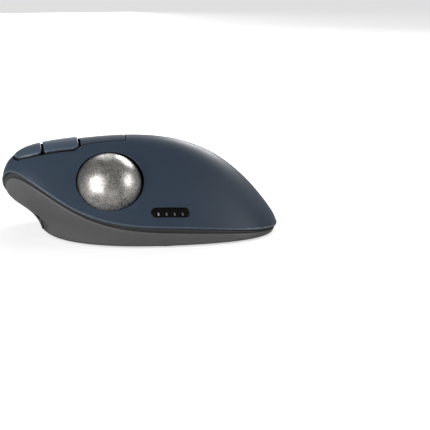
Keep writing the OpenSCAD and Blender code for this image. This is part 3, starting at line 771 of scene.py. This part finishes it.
class StageSettings(bpy.types.PropertyGroup):
    azimuth: bpy.props.FloatProperty(name="Camera bearing", description="Side from which the mouse is seen",
                                     default=math.radians(-98), subtype="ANGLE", unit="ROTATION")
    elevation: bpy.props.FloatProperty(name="Camera height", description="Angle above the desk",
                                       default=math.radians(10), subtype="ANGLE", unit="ROTATION")
    distance: bpy.props.FloatProperty(name="Camera distance", description="Distance from the mouse",
                                      default=0.8, min=0.3, max=2, subtype="DISTANCE", unit="LENGTH")
    brightness: bpy.props.FloatProperty(name="Brightness", description="Strength of every lamp",
                                        default=1.0, min=0.2, max=3)


def colours():
    return bpy.context.scene.mouse_colours


def shell_paint():
    return material("shell", lambda: moulded("navy_soft_paint", tuple(colours().shell), 0.44, grain=0.22,
                                             depth=0.0025, tint=0.04, wear=0.35))


def key_plastic():
    return material("key", lambda: moulded("slate_key_plastic", tuple(colours().side_keys), 0.4, grain=0.25,
                                           depth=0.003, wear=0.5))


# The bead's paler colour is a painted highlight, where the rolled lip along the shell's lower edge catches
# the light.
def bead_highlight():
    return material("bead", lambda: moulded("pale_bead_highlight", tuple(colours().bead), 0.36, grain=0.3,
                                            depth=0.002, wear=0.3))


# The strip's dark grey is painted shade, where the recess under the shell's edge lies in shadow.
def strip_plastic():
    return material("strip", lambda: moulded("strip_painted_shade", tuple(colours().strip), 0.55, depth=0.004))


def base_plastic():
    return material("base", lambda: moulded("satin_grey_plastic", tuple(colours().base), 0.4, grain=0.35,
                                            depth=0.005, wear=0.3))


# Black plastic for the inner parts that are really black; the same material paints shade on the walls of gaps
# and recesses in the shell, the keys and the charging port.
def black_plastic_and_gap_shade():
    return material("dark", lambda: moulded("black_moulding_and_painted_shade", srgb(24, 24, 26), 0.4, depth=0.004))


def place_on(depth=0.0):
    return lambda p: skin(*palm_unmap(p), depth)


def normal_on(p):
    return palm_normal(*palm_unmap(p))


def close(piece, copies, top, last, mat=0, flip=False):
    """Joins the foot of a wall to the inner copy of the skin loop it started from."""
    piece.strip(last, [copies[int(v)] for v in top], mat, flip)


# ---------------------------------------------------------------- palm shell
BALL_LIP = 4.8  # height of the opening's retaining lip above the ball's centre, along the axis
OPENING = ellipse(BALL_R - 0.5, BALL_R + 0.1, 150)  # half height and half length of the ball opening
LEDGE, LEDGE_IN = -1.2, 1.6  # height of the window's ledge along its axis, and how much smaller it is
LEDGE_DEEP = 1.1
DPI_ROOM = 0.8  # how much larger the speed key's hole is than the key
BEAD_PROUD, BEAD_STEPS, BEAD_UNDER = 0.22, 7, 0.9
# The bead's material is a paler colour that paints a highlight along the shell's lower edge.
BEAD_HIGHLIGHT_MAT, GAP_SHADE_MAT = 1, 2  # where they come among the shell's materials, after its own paint
TRIM = palm(*np.concatenate([np.stack([np.linspace(0, 180, 361), np.zeros(361)], 1),
                             np.stack([np.linspace(179.5, 0.5, 359), np.full(359, 2.0)], 1)]).T)


def rim_loop(phis, reach):
    """Skin loop at a distance up from the parting line."""
    th, t = np.where(phis <= 180, phis, 360 - phis), np.where(phis <= 180, 0.0, 2.0)
    start = palm_map(th, t)
    lo, hi = np.zeros(len(phis)), np.full(len(phis), 0.2)
    for _ in range(16):
        mid = (lo + hi) / 2
        at = palm(*palm_unmap(start * (1 - mid)[:, None]))
        far = np.array([np.sqrt(((TRIM - p) ** 2).sum(1).min()) for p in at]) > reach
        lo, hi = np.where(far, lo, mid), np.where(far, mid, hi)
    return palm_unmap(start * (1 - mid)[:, None])


class MOUSE_OT_shell(bpy.types.Operator):
    """Palm shell: key holes, ball opening, window recess and the bead along its lower edge"""
    bl_idname = "mouse.shell"
    bl_label = "Palm Shell"

    def execute(self, context):
        s = context.scene.mouse_shell
        wall_t, r = s.wall / MM, s.edge / MM
        p = Piece()
        # The walls of the key holes, the speed key's hole, the ball opening and the window recess take the
        # dark material: painted shade in these gaps.
        holes = [
            edge(p, outline(KEY_HOLE, 1.2), UP, r, 1, wall=wall_t, deep=GAP_SHADE_MAT),
            edge(p, pill(*DPI_KEY[:2], DPI_KEY[2] + DPI_ROOM, DPI_KEY[3] + DPI_ROOM), UP, r, 1, wall=wall_t,
                 deep=GAP_SHADE_MAT),
            edge(p, OPENING, BALL_AXES, 0.55, 1, floor_at=BALL_LIP, deep=GAP_SHADE_MAT, count=7),
        ]
        full = pill(0, 0, WINDOW_L, WINDOW_H)
        window = edge(p, full, WINDOW_AXES, 0.3, 1, floor_at=LEDGE, mat=GAP_SHADE_MAT, deep=GAP_SHADE_MAT)
        ledge = pill(0, 0, WINDOW_L - LEDGE_IN, WINDOW_H - LEDGE_IN)[0]
        lip = WINDOW_AXES.solid(np.stack([ledge[nearest(ledge, q)] for q in full[0]]), LEDGE)
        sunk = p.rings([lip, lip - LEDGE_DEEP * WINDOW_AXES.z], GAP_SHADE_MAT, first=window[2])
        holes.append((window[0], window[1], sunk[-1]))
        phis = np.linspace(0, 360, 420, endpoint=False)
        reach = s.bead / MM
        th, t = rim_loop(phis, reach)
        top = p.add(skin(th, t), palm_normal(th, t))
        last = top
        for k in range(1, BEAD_STEPS + 1):
            share = k / BEAD_STEPS
            a, b = rim_loop(phis, max(reach * (1 - share), 0.02))
            proud = BEAD_PROUD * math.sin(math.pi * share) ** 0.6 - 0.25 * share**6
            ids = p.add(skin(a, b, -proud), wear=0.6)
            p.strip(last, ids, BEAD_HIGHLIGHT_MAT, flip=True)
            last = ids
        under = skin(a, b, BEAD_UNDER * wall_t)
        last = p.rings([under], BEAD_HIGHLIGHT_MAT, flip=True, first=last)[-1]
        copies = p.fill((top, palm_map(th, t)), [(i, f) for i, f, _ in holes], s.fineness / MM,
                        place_on(), normal_on, place_on(wall_t))
        for first, _, foot in holes:
            close(p, copies, first, foot)
        close(p, copies, top, last, flip=True)
        obj = p.make("palm_shell", [shell_paint(), bead_highlight(), black_plastic_and_gap_shade()])
        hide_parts("top_shell")
        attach(obj, "casing")
        return {"FINISHED"}


def nearest(points, q):
    return ((points - q) ** 2).sum(1).argmin()


# ---------------------------------------------------------------- keys
def key(name, cad, body, slot, line, radius, proud, deep, paint, spacing=1.0):
    """One key: its face follows the casing, with a rounded edge and closed underneath."""
    p = Piece()
    # The key's side wall below its rounded edge takes the dark material: painted shade in the gap round the
    # key.
    top, flat, last = edge(p, line, UP, radius, -1, depth=-proud, wall=proud + deep, deep=1)
    copies = p.fill((top, flat), [], spacing, place_on(-proud), normal_on, place_on(deep))
    close(p, copies, top, last, flip=True)
    obj = p.make(name, [paint, black_plastic_and_gap_shade()])
    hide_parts(cad)
    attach(obj, body)
    return obj


class MOUSE_OT_main_keys(bpy.types.Operator):
    """Left and right click keys"""
    bl_idname = "mouse.main_keys"
    bl_label = "Click Keys"

    def execute(self, context):
        s = context.scene.mouse_shell
        for side, points in (("left", LEFT_KEY), ("right", RIGHT_KEY)):
            line = moved(outline(points, 1.0 + s.key_gap / MM / 2), -s.key_gap / MM / 2)
            key(f"{side}_click_key", f"{side}_button", f"{side}_key", "shell_plastic", line,
                radius=s.edge / MM, proud=0.0, deep=1.3, paint=shell_paint())
        return {"FINISHED"}


class MOUSE_OT_side_keys(bpy.types.Operator):
    """Forward and back keys at the thumb, which stand a little proud"""
    bl_idname = "mouse.side_keys"
    bl_label = "Side Keys"

    def execute(self, context):
        s = context.scene.mouse_shell
        for which, points in (("forward", FORWARD_KEY), ("back", BACK_KEY)):
            line = moved(outline(points, 1.4 + s.key_gap / MM / 2), -s.key_gap / MM / 2)
            key(f"{which}_thumb_key", f"{which}_button", f"{which}_key", "key_plastic", line,
                radius=0.7, proud=0.8, deep=1.6, paint=key_plastic(), spacing=0.8)
        return {"FINISHED"}


class MOUSE_OT_dpi_key(bpy.types.Operator):
    """Pointer speed key behind the wheel"""
    bl_idname = "mouse.dpi_key"
    bl_label = "Speed Key"

    def execute(self, context):
        key("pointer_speed_key", "dpi_button", "dpi_key", "key_plastic", pill(*DPI_KEY),
            radius=0.6, proud=0.7, deep=1.6, paint=key_plastic(), spacing=0.6)
        return {"FINISHED"}


# ---------------------------------------------------------------- strip and base
class MOUSE_OT_strip(bpy.types.Operator):
    """Recessed strip between the two casings; its dark grey is painted shade under the shell's edge"""
    bl_idname = "mouse.strip"
    bl_label = "Trim Strip"

    def execute(self, context):
        b = strip_share(PHIS)
        section = [(0, 3.4, 0.8), (0, 3.4, -0.35), (0, 1.25, -0.35), (0, 0.95, -0.6), (0.5, 0.82, 0),
                   (1, 0.9, 0.25), (1, 1.1, 0.0), (1, 1.15, -0.5), (1, 3.2, -0.5), (0.5, 4.2, 0)]
        p = Piece()
        ids = p.rings([wall(PHIS, share * b, depth * np.ones(len(b)), up * np.ones(len(b)))
                       for share, depth, up in section])
        p.strip(ids[-1], ids[0])
        obj = p.make("recessed_trim_strip", [strip_plastic()])
        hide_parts("trim_strip")
        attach(obj, "casing")
        return {"FINISHED"}


def recess(p, line, ceiling, r=0.3, through=False):
    """A hole or a blind pocket in the underside. Returns what the floor sheet needs to close it."""
    loops = [level(line[0] + gap * line[1], FLOOR_Z + drop) for gap, drop in fillet(3, r)]
    top = p.add(loops[0])
    last = p.rings(loops[1:], flip=True, first=top, wear=0.5)[-1]
    last = p.rings([level(line[0], FLOOR_Z + r + 0.1), level(line[0], ceiling)], flip=True, first=last)[-1]
    if not through:
        p.cap(p.add(level(line[0], ceiling)), flip=True)
    return top, loops[0][:, :2], last, ceiling, through


STRAIGHT = 0.93  # share of the lower casing's height above the turn to the floor
TUCK_IN = 1.7  # how far the wall turns in there


def turned_pill(x, y, turn, length, width):
    pts, nor = pill(0, 0, length, width)
    a = math.radians(turn)
    m = np.array([[math.cos(a), math.sin(a)], [-math.sin(a), math.cos(a)]])
    return pts @ m + [x, y], nor @ m


def rounded_box(cx, cy, lx, ly, r=1.0):
    x, y = lx / 2, ly / 2
    return outline([(cx - x, cy - y), (cx + x, cy - y), (cx + x, cy + y), (cx - x, cy + y)], r, 1.2)


FEET = {"foot_front": (3, 42, 90, 34, 6), "foot_left": (-40, -14, 6, 22, 6),
        "foot_right": (38.6, -14, -4, 22, 6), "foot_rear": (1, -62, 90, 26, 6)}
SCREWS = [(-24, -48), (24, -48), (38.2, 13), (-32, -17)]
BAY = (24, -22, 15.6, 19.6)  # centre, width, height, like the next two
LABEL = (-6, -36, 28, 16)
POWER_SLOT = (-2, -2, 9.6, 4.6)
PAIRING = (12, -2)
EJECT_R, PAIRING_R, SCREW_R = 6.5, 2.3, 2.9  # radii of the round holes
FOOT_ROOF, SCREW_ROOF, LABEL_ROOF, BAY_ROOF = 1.3, 1.7, 1.25, 8.2  # how far up each pocket goes
FOOT_ROOM, LABEL_ROOM = 0.5, 0.6  # how much larger a pocket is than what sits in it
BAY_SHEET = 1.2
PLUG, SOCKET = (13, 7), (9.3, 3.6)  # width and height of the port's recess and of the slot in it


class MOUSE_OT_base(bpy.types.Operator):
    """Lower casing: sides, charging port, underside with its pockets and holes"""
    bl_idname = "mouse.base"
    bl_label = "Lower Casing"

    def execute(self, context):
        p = Piece()
        zero = np.zeros(len(PHIS))
        top_z = ring(RING_Z, PHIS) - strip_share(PHIS) * (ring(RING_Z, PHIS) - BASE_Z)
        low_z = ring(RING_Z, PHIS) - STRAIGHT * (ring(RING_Z, PHIS) - BASE_Z)
        r = np.minimum(0.6, 0.4 * (top_z - low_z))
        upper = p.add(side_point(PHIS, top_z - r))
        lift = [(1 - math.cos(g), math.sin(g)) for g in np.linspace(0, math.pi / 2, 5)[1:]]
        rim = [side_point(PHIS, top_z - r, r * d) + np.column_stack([zero, zero, r * u]) for d, u in lift]
        rim += [side_point(PHIS, top_z, zero + 0.85),
                side_point(PHIS, top_z, zero + 0.85) - [0, 0, 0.7]]
        rim_end = p.rings(rim, first=upper, wear=0.5)[-1]
        lower = p.add(side_point(PHIS, low_z))
        tuck = [(STRAIGHT + (1 - STRAIGHT) * math.sin(g), TUCK_IN * (1 - math.cos(g)))
                for g in np.linspace(0, math.pi / 2, 6)[1:]]
        foot = p.rings([wall(PHIS, share, zero + d) for share, d in tuck], flip=True, first=lower)[-1]
        port = self.port(p)
        copies = p.fill((lower, side_map(PHIS, low_z)), [(upper, side_map(PHIS, top_z - r)), port[:2]], 1.5,
                        lambda q: side_point(*side_unmap(q)), None,
                        lambda q: side_point(*side_unmap(q), np.full(len(q), WALL_T)))
        close(p, copies, upper, rim_end)
        close(p, copies, port[0], port[2])
        wall_foot = [copies[int(v)] for v in lower]
        holes = [recess(p, turned_pill(x, y, a, l + FOOT_ROOM, w + FOOT_ROOM), FOOT_ROOF)
                 for x, y, a, l, w in FEET.values()]
        holes += [recess(p, circle(*c, SCREW_R, 40), SCREW_ROOF) for c in SCREWS]
        under_label = rounded_box(*LABEL[:2], LABEL[2] + LABEL_ROOM, LABEL[3] + LABEL_ROOM)
        holes += [recess(p, circle(*BALL[:2], EJECT_R, 72), ROOF_Z, r=0.5, through=True),
                  recess(p, pill(*POWER_SLOT), ROOF_Z, through=True),
                  recess(p, circle(*PAIRING, PAIRING_R, 36), ROOF_Z, through=True),
                  recess(p, under_label, LABEL_ROOF, r=0.2),
                  recess(p, self.bay_outline(), BAY_ROOF, r=0.4)]
        plan = np.array([p.co[int(v)][:2] for v in foot])
        floor = p.fill((foot, plan), [(i, f) for i, f, *_ in holes], 2.4,
                       lambda q: level(q, FLOOR_Z), None, lambda q: level(q, ROOF_Z), flip=True)
        for first, _, last, ceiling, through in holes:
            inner = [floor[int(v)] for v in first]
            if through:
                p.strip(last, inner, flip=True)
            elif ceiling > ROOF_Z:
                high = p.add([(*p.co[v][:2], ceiling + BAY_SHEET) for v in inner])
                p.strip(inner, high)
                p.cap(high)
            else:
                p.cap(inner)
        p.strip(wall_foot, [floor[int(v)] for v in foot])
        # The second material paints shade in the charging port's recess.
        obj = p.make("lower_casing", [base_plastic(), black_plastic_and_gap_shade()])
        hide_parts("base_shell")
        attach(obj, "casing")
        return {"FINISHED"}

    def bay_outline(self):
        """Receiver bay with a thumb notch at its rear."""
        x, y, w, h = BAY
        n = 5.0
        g = np.linspace(math.pi + 0.25, 2 * math.pi - 0.25, 9)
        notch = [(x + n * math.cos(a), y - h / 2 - 1 + n * math.sin(a)) for a in g]
        notch = [(x - 4.9, y - h / 2), *notch, (x + 4.9, y - h / 2)]
        return outline([(x - w / 2, y - h / 2), *notch, (x + w / 2, y - h / 2), (x + w / 2, y + h / 2),
                        (x - w / 2, y + h / 2)], 0.5, 1.2)

    def port(self, p):
        """Recess for the charging plug, with a flat face and the socket's slot."""
        pts, nor = across(pill(0, 0, *PLUG))
        for k, (gap, drop) in enumerate(fillet(4, 0.5)):
            q = pts + gap * nor + [USB[0], USB[2]]
            phi = side_under(q[:, 0], q[:, 1])
            on = side_point(phi, q[:, 1])
            room = np.minimum(1.0, (on[:, 1] - USB[1]) / 0.7)[:, None]
            co = on - np.array([0, 1, 0]) * drop * room
            if k == 0:
                top, flat = p.add(co), side_map(phi % 360, q[:, 1])
                last = top
            else:
                ids = p.add(co, wear=0.6)
                p.strip(last, ids, 0)
                last = ids

        def face(line, y):
            return np.column_stack([line[:, 0] + USB[0], np.full(len(line), y), line[:, 1] + USB[2]])

        # The port's flat face and the socket's slot take the dark material: painted shade in the recess.
        last = p.rings([face(pts, USB[1] + 0.25), face(pts - 0.25 * nor, USB[1])], 1, first=last)[-1]
        slot = across(pill(0, 0, *SOCKET))[0]
        hole = np.array([slot[nearest(slot, q)] for q in pts])
        last = p.rings([face(hole, USB[1]), face(hole, USB[1] - 1.5)], 1, first=last)[-1]
        return top, flat, last


class MOUSE_OT_feet(bpy.types.Operator):
    """Glide pads under the base, and the blank label"""
    bl_idname = "mouse.feet"
    bl_label = "Glide Pads"

    def execute(self, context):
        rubber = material("pad", lambda: moulded("glide_pad", srgb(28, 28, 30), 0.5, grain=0.3, depth=0.004))
        for name, spec in FEET.items():
            self.pad(f"{name}_pad", name, "foot_pad", turned_pill(*spec), 0.0, FOOT_ROOF, 0.35, rubber)
        paper = material("paper", lambda: moulded("label_stock", srgb(196, 196, 194), 0.6, grain=0.2,
                                                  depth=0.003))
        self.pad("blank_label_sheet", "label_plate", "blank_label", rounded_box(*LABEL, 1.6), 0.85,
                 LABEL_ROOF, 0.1, paper)
        return {"FINISHED"}

    def pad(self, name, cad, slot, line, low, high, r, paint):
        """Flat pad facing down, with its lower edge rounded."""
        p = Piece()
        loops = [level(line[0] - gap * line[1], low + drop) for gap, drop in fillet(4, r)]
        loops.append(level(line[0], high))
        p.rings(loops)
        p.cap(p.add(loops[0]), flip=True)
        p.cap(p.add(loops[-1]))
        obj = p.make(name, [paint])
        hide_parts(cad)
        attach(obj, "casing")


# ---------------------------------------------------------------- ball, window, wheel
class MOUSE_OT_ball(bpy.types.Operator):
    """Thumb ball"""
    bl_idname = "mouse.ball"
    bl_label = "Ball"

    def execute(self, context):
        p = Piece()
        rows, cols = 72, 144
        g = np.linspace(0, 2 * math.pi, cols, endpoint=False)
        ids = []
        for k in range(1, rows):
            a = math.pi * k / rows
            dirs = level(math.sin(a) * np.stack([np.cos(g), np.sin(g)], -1), math.cos(a))
            ids.append(p.add(BALL + BALL_R * dirs, dirs))
        for a, b in zip(ids, ids[1:]):
            p.strip(b, a)
        for end, side in ((ids[0], 1), (ids[-1], -1)):
            pole = p.add([BALL + [0, 0, side * BALL_R]], [(0, 0, side)])[0]
            for i in range(cols):
                f = (int(pole), int(end[i]), int(end[(i + 1) % cols]))
                p.faces.append(f if side > 0 else f[::-1])
                p.mat.append(0)
        shades = tuple(colours().ball_light), tuple(colours().ball_dark)
        lacquer = material("ball", lambda: speckled_lacquer("speckled_silver_lacquer", *shades, 0.12))
        obj = p.make("thumb_ball", [lacquer])
        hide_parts("trackball")
        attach(obj, "ball")
        return {"FINISHED"}


class MOUSE_OT_window(bpy.types.Operator):
    """Smoked indicator window with four light guides"""
    bl_idname = "mouse.window"
    bl_label = "Indicator Window"

    def execute(self, context):
        smoked = material("smoked", lambda: moulded("smoked_window", srgb(4, 4, 6), 0.16, grain=1.2,
                                                    depth=0.0006, specular=0.4, coat=0.2, dust=0.01))
        lens = Piece()
        flange = LEDGE + 0.05
        self.slab(lens, WINDOW_L - 0.5, WINDOW_H - 0.5, 0, 0, -0.62, flange, 0.2)
        self.slab(lens, WINDOW_L - 1.8, WINDOW_H - 1.8, 0, 0, flange, -2.6, 0.1)
        obj = lens.make("indicator_window", [smoked])
        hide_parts("indicator_lens")
        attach(obj, "casing")
        for k in range(4):
            # Every guide glows by painted emission, the first one most.
            on = k == 0
            guide = Piece()
            self.slab(guide, 1.7, 0.75, -0.75, 4.2 * (1.5 - k), -0.57, -0.7, 0.05, tall=True)
            look = ("light_guide_brighter_glow", srgb(170, 172, 174), 0.12) if on \
                else ("light_guide", srgb(120, 122, 126), 0.04)
            glow = material(look[0], lambda: glowing_guide(*look))
            obj = guide.make(f"light_guide_{k + 1}", [glow])
            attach(obj, "casing")
        return {"FINISHED"}

    def slab(self, p, length, width, x, y, high, low, r, tall=False):
        """Flat pill, from one height to another along the window's axis, with its upper edge rounded."""
        line = pill(0, 0, length, width, 0.3)
        pts, nor = across(line) if tall else line
        pts = pts + [x, y]
        loops = [WINDOW_AXES.solid(pts - gap * nor, high - drop) for gap, drop in fillet(4, r)]
        loops.append(WINDOW_AXES.solid(pts, low))
        p.rings(loops, flip=True)
        p.cap(p.add(loops[0]))
        p.cap(p.add(loops[-1]), flip=True)


class MOUSE_OT_wheel(bpy.types.Operator):
    """Ribbed rubber tyre of the scroll wheel"""
    bl_idname = "mouse.wheel"
    bl_label = "Wheel Tyre"

    def execute(self, context):
        axes = leaning(WHEEL, -WHEEL_LEAN)
        ribs, per = 24, 14
        half, inner, crown, r = WHEEL_W / 2 - 0.3, WHEEL_R - 2.6, 0.35, 0.7
        a = np.linspace(0, 2 * math.pi, ribs * per, endpoint=False)
        groove = np.clip(1 - np.abs(((a * ribs / (2 * math.pi)) % 1) - 0.5) / 0.22, 0, 1)
        groove = 0.75 * groove**2 * (3 - 2 * groove)
        section = [(-half, inner), (-half, WHEEL_R - crown - r)]
        section += [(-half + r * (1 - math.cos(g)), WHEEL_R - crown - r * (1 - math.sin(g)))
                    for g in np.linspace(0.2, math.pi / 2, 5)]
        section += [(x, WHEEL_R - crown * (x / (half - r)) ** 2) for x in np.linspace(-half + r, 0, 5)[1:]]
        section += [(-x, h) for x, h in section[-2::-1]]
        p = Piece()
        loops = []
        for x, h in section:
            dip = groove * min(1.0, max(0.0, (h - (WHEEL_R - crown - r)) / 0.5))
            rad = h - dip
            loops.append(axes.o + x * axes.x + (rad * np.cos(a))[:, None] * axes.y
                         + (rad * np.sin(a))[:, None] * axes.z)
        ids = p.rings(loops)
        p.strip(ids[-1], ids[0])
        rubber = material("rubber", lambda: moulded("tyre_rubber", srgb(30, 30, 32), 0.62, grain=0.3,
                                                    depth=0.008, dust=0.1))
        obj = p.make("ribbed_tyre", [rubber])
        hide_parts("wheel_tyre")
        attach(obj, "wheel")
        return {"FINISHED"}


# ---------------------------------------------------------------- parts shown as modelled
class MOUSE_OT_inner_parts(bpy.types.Operator):
    """Finishes for the parts inside, and for those that show as they are"""
    bl_idname = "mouse.inner_parts"
    bl_label = "Inner Parts"

    def execute(self, context):
        steel = srgb(190, 192, 196)
        finishes = {
            "shell_plastic": shell_paint,
            "key_plastic": key_plastic,
            "strip_plastic": strip_plastic,
            "base_plastic": base_plastic,
            "foot_pad": black_plastic_and_gap_shade,
            "blank_label": black_plastic_and_gap_shade,
            "screw_steel": lambda: metal("plated_screw_steel", steel, 0.32, stretch=(1, 1, 4)),
            "ball_lacquer": black_plastic_and_gap_shade,
            "socket_plastic": lambda: moulded("cup_moulding", srgb(20, 20, 22), 0.34, depth=0.003),
            "bearing_ceramic": lambda: moulded("bearing_ceramic", srgb(232, 230, 222), 0.15, grain=0.5,
                                               depth=0.0008, dust=0.0),
            "lens_clear": lambda: clear("sensor_optics", srgb(214, 226, 232)),
            "chip_black": lambda: moulded("chip_package", srgb(26, 26, 28), 0.42, grain=0.3, depth=0.006),
            "board_green": lambda: board("circuit_board"),
            "wheel_plastic": lambda: moulded("wheel_hub_plastic", srgb(58, 60, 64), 0.42, depth=0.004),
            "tyre_rubber": black_plastic_and_gap_shade,
            "axle_steel": lambda: metal("turned_axle_steel", steel, 0.25, size=0.3, stretch=(6, 1, 1)),
            "frame_plastic": lambda: moulded("inner_frame_plastic", srgb(92, 94, 98), 0.5, depth=0.008),
            "encoder_green": lambda: moulded("encoder_housing", srgb(44, 122, 82), 0.4, depth=0.004),
            "plunger_red": lambda: moulded("switch_plunger", srgb(176, 44, 36), 0.34, depth=0.003),
            "battery_foil": lambda: metal("pouch_foil", srgb(186, 188, 192), 0.36, size=2.0, depth=0.02),
            "connector_white": lambda: moulded("connector_nylon", srgb(226, 224, 216), 0.4, depth=0.004),
            "shield_steel": lambda: metal("drawn_shield_steel", steel, 0.3, stretch=(1, 5, 1)),
            "tongue_black": lambda: moulded("contact_tongue", srgb(18, 18, 19), 0.45, depth=0.003),
            "window_black": black_plastic_and_gap_shade,
            "slider_grey": lambda: moulded("control_cap", srgb(150, 152, 156), 0.38, depth=0.004),
            "receiver_black": lambda: moulded("receiver_cap_plastic", srgb(34, 34, 37), 0.38, depth=0.004),
        }
        for part in frame["record"]["subparts"]:
            slot = part["material_slot"]
            made = material("slot " + slot, finishes[slot])
            data = frame["nodes"][part["node"]].data
            data.materials.clear()
            data.materials.append(made)
        return {"FINISHED"}


# ---------------------------------------------------------------- stage
LENS, SENSOR = 126.368, 36.0  # focal length and frame width of the camera, mm
AIM = (-0.048827, 0.021068)  # slope of the line to the mouse's middle, right and up of the line of sight
STEPS_TO_AIM = 20


def lamp(name, where, toward, size, power):
    data = bpy.data.lights.new(name, "AREA")
    data.shape = "RECTANGLE"
    data.size, data.size_y = size
    data.energy = power
    obj = bpy.data.objects.new(name, data)
    obj.location = where
    obj.rotation_euler = (Vector(toward) - Vector(where)).to_track_quat("-Z", "Y").to_euler()
    bpy.context.scene.collection.objects.link(obj)
    return obj


class MOUSE_OT_stage(bpy.types.Operator):
    """Pale floor, soft studio lights and the camera"""
    bl_idname = "mouse.stage"
    bl_label = "Stage"

    def execute(self, context):
        s = context.scene.mouse_stage
        half, low = 4.0, -0.00005
        mesh = bpy.data.meshes.new("floor")
        mesh.from_pydata([(-half, -half, low), (half, -half, low), (half, half, low), (-half, half, low)],
                         [], [(0, 1, 2, 3)])
        floor = bpy.data.objects.new("floor", mesh)
        context.scene.collection.objects.link(floor)
        m, t, b = blank("pale_floor")
        cloud = noise(t, 3.0)
        seen = node(t, "ShaderNodeLightPath").outputs["Is Camera Ray"]
        white = mix_colour(t, cloud, (0.87, 0.87, 0.87), (0.9, 0.9, 0.9))
        t.links.new(mix_colour(t, seen, (0.5, 0.5, 0.5), white), b.inputs["Base Color"])
        t.links.new(mix_colour(t, seen, (0.0, 0.0, 0.0), (0.62, 0.62, 0.62)), b.inputs["Emission Color"])
        b.inputs["Emission Strength"].default_value = 1.0
        b.inputs["Roughness"].default_value = 0.9
        b.inputs["Specular IOR Level"].default_value = 0.0
        mesh.materials.append(m)
        k = s.brightness
        mid = (0, 0, 0.03)
        lamp("top_box", (1.4, 0.0, 0.8), mid, (0.5, 2.0), 4 * k)
        lamp("nose_side_box", (-0.68, 0.87, 0.42), mid, (0.7, 0.6), 7.5 * k)
        lamp("tail_side_box", (-0.4, -1.0, 0.42), mid, (0.6, 0.55), 3.2 * k)
        lamp("low_box", (-0.9, 0.95, 0.06), mid, (0.7, 0.12), 3.6 * k)
        lamp("ridge_box", (0.9, -0.62, 0.68), mid, (0.5, 0.3), 7.5 * k)
        world = bpy.data.worlds.new("studio")
        world.use_nodes = True
        sky = world.node_tree
        sky.nodes["Background"].inputs[0].default_value = (1, 1, 1, 1)
        seen = node(sky, "ShaderNodeLightPath").outputs["Is Camera Ray"]
        sky.links.new(math_node(sky, "ADD", seen, 0.12 * k), sky.nodes["Background"].inputs[1])
        context.scene.world = world
        context.scene.view_settings.view_transform = "Standard"
        self.camera(s)
        return {"FINISHED"}

    def camera(self, s):
        """Aimed off the middle, so that the mouse stands where it should in the view."""
        middle = Vector((0, 0, 0.025))
        a, e = s.azimuth, s.elevation
        away = Vector((math.sin(a) * math.cos(e), -math.cos(a) * math.cos(e), math.sin(e)))
        where = middle + s.distance * away
        data = bpy.data.cameras.new("camera")
        data.sensor_width = SENSOR
        data.lens = LENS
        data.clip_start, data.clip_end = 0.01, 50
        cam = bpy.data.objects.new("camera", data)
        bpy.context.scene.collection.objects.link(cam)
        bpy.context.scene.camera = cam
        cam.location = where
        # the line of sight that leaves the middle at the slopes of AIM: bearing and tilt, step by step
        to = (middle - where).normalized()
        yaw, pitch = math.atan2(-to.x, to.y), math.asin(to.z)
        for _ in range(STEPS_TO_AIM):
            look = Matrix.Rotation(yaw, 3, "Z") @ Matrix.Rotation(pitch + math.pi / 2, 3, "X")
            q = look.inverted() @ to
            yaw += (AIM[0] - q.x / -q.z) * 0.9 / math.cos(pitch)
            pitch -= (AIM[1] - q.y / -q.z) * 0.9
        cam.rotation_euler = look.to_euler()


class VIEW3D_PT_mouse(bpy.types.Panel):
    """Sizes, colours and steps of the trackball mouse"""
    bl_label = "Thumb Trackball Mouse"
    bl_space_type = "VIEW_3D"
    bl_region_type = "UI"
    bl_category = "Trackball"

    def draw(self, context):
        for settings in (context.scene.mouse_shell, context.scene.mouse_colours, context.scene.mouse_stage):
            box = self.layout.box()
            for name in settings.bl_rna.properties.keys():
                if name not in ("rna_type", "name"):
                    box.prop(settings, name)
        for step in STEPS:
            self.layout.operator(step.bl_idname)


STEPS = (MOUSE_OT_stage, MOUSE_OT_inner_parts, MOUSE_OT_shell, MOUSE_OT_main_keys, MOUSE_OT_side_keys,
         MOUSE_OT_dpi_key, MOUSE_OT_strip, MOUSE_OT_base, MOUSE_OT_feet, MOUSE_OT_ball, MOUSE_OT_window,
         MOUSE_OT_wheel)
SETTINGS = {"mouse_shell": ShellSettings, "mouse_colours": ColourSettings, "mouse_stage": StageSettings}


def register():
    for cls in (*SETTINGS.values(), *STEPS, VIEW3D_PT_mouse):
        bpy.utils.register_class(cls)
    for name, cls in SETTINGS.items():
        setattr(bpy.types.Scene, name, bpy.props.PointerProperty(type=cls))


def unregister():
    for name in SETTINGS:
        delattr(bpy.types.Scene, name)
    for cls in reversed((*SETTINGS.values(), *STEPS, VIEW3D_PT_mouse)):
        bpy.utils.unregister_class(cls)


def main():
    register()
    for step in STEPS:
        group_name, call = step.bl_idname.split(".")
        getattr(getattr(bpy.ops, group_name), call)()


if __name__ == "__main__":
    main()
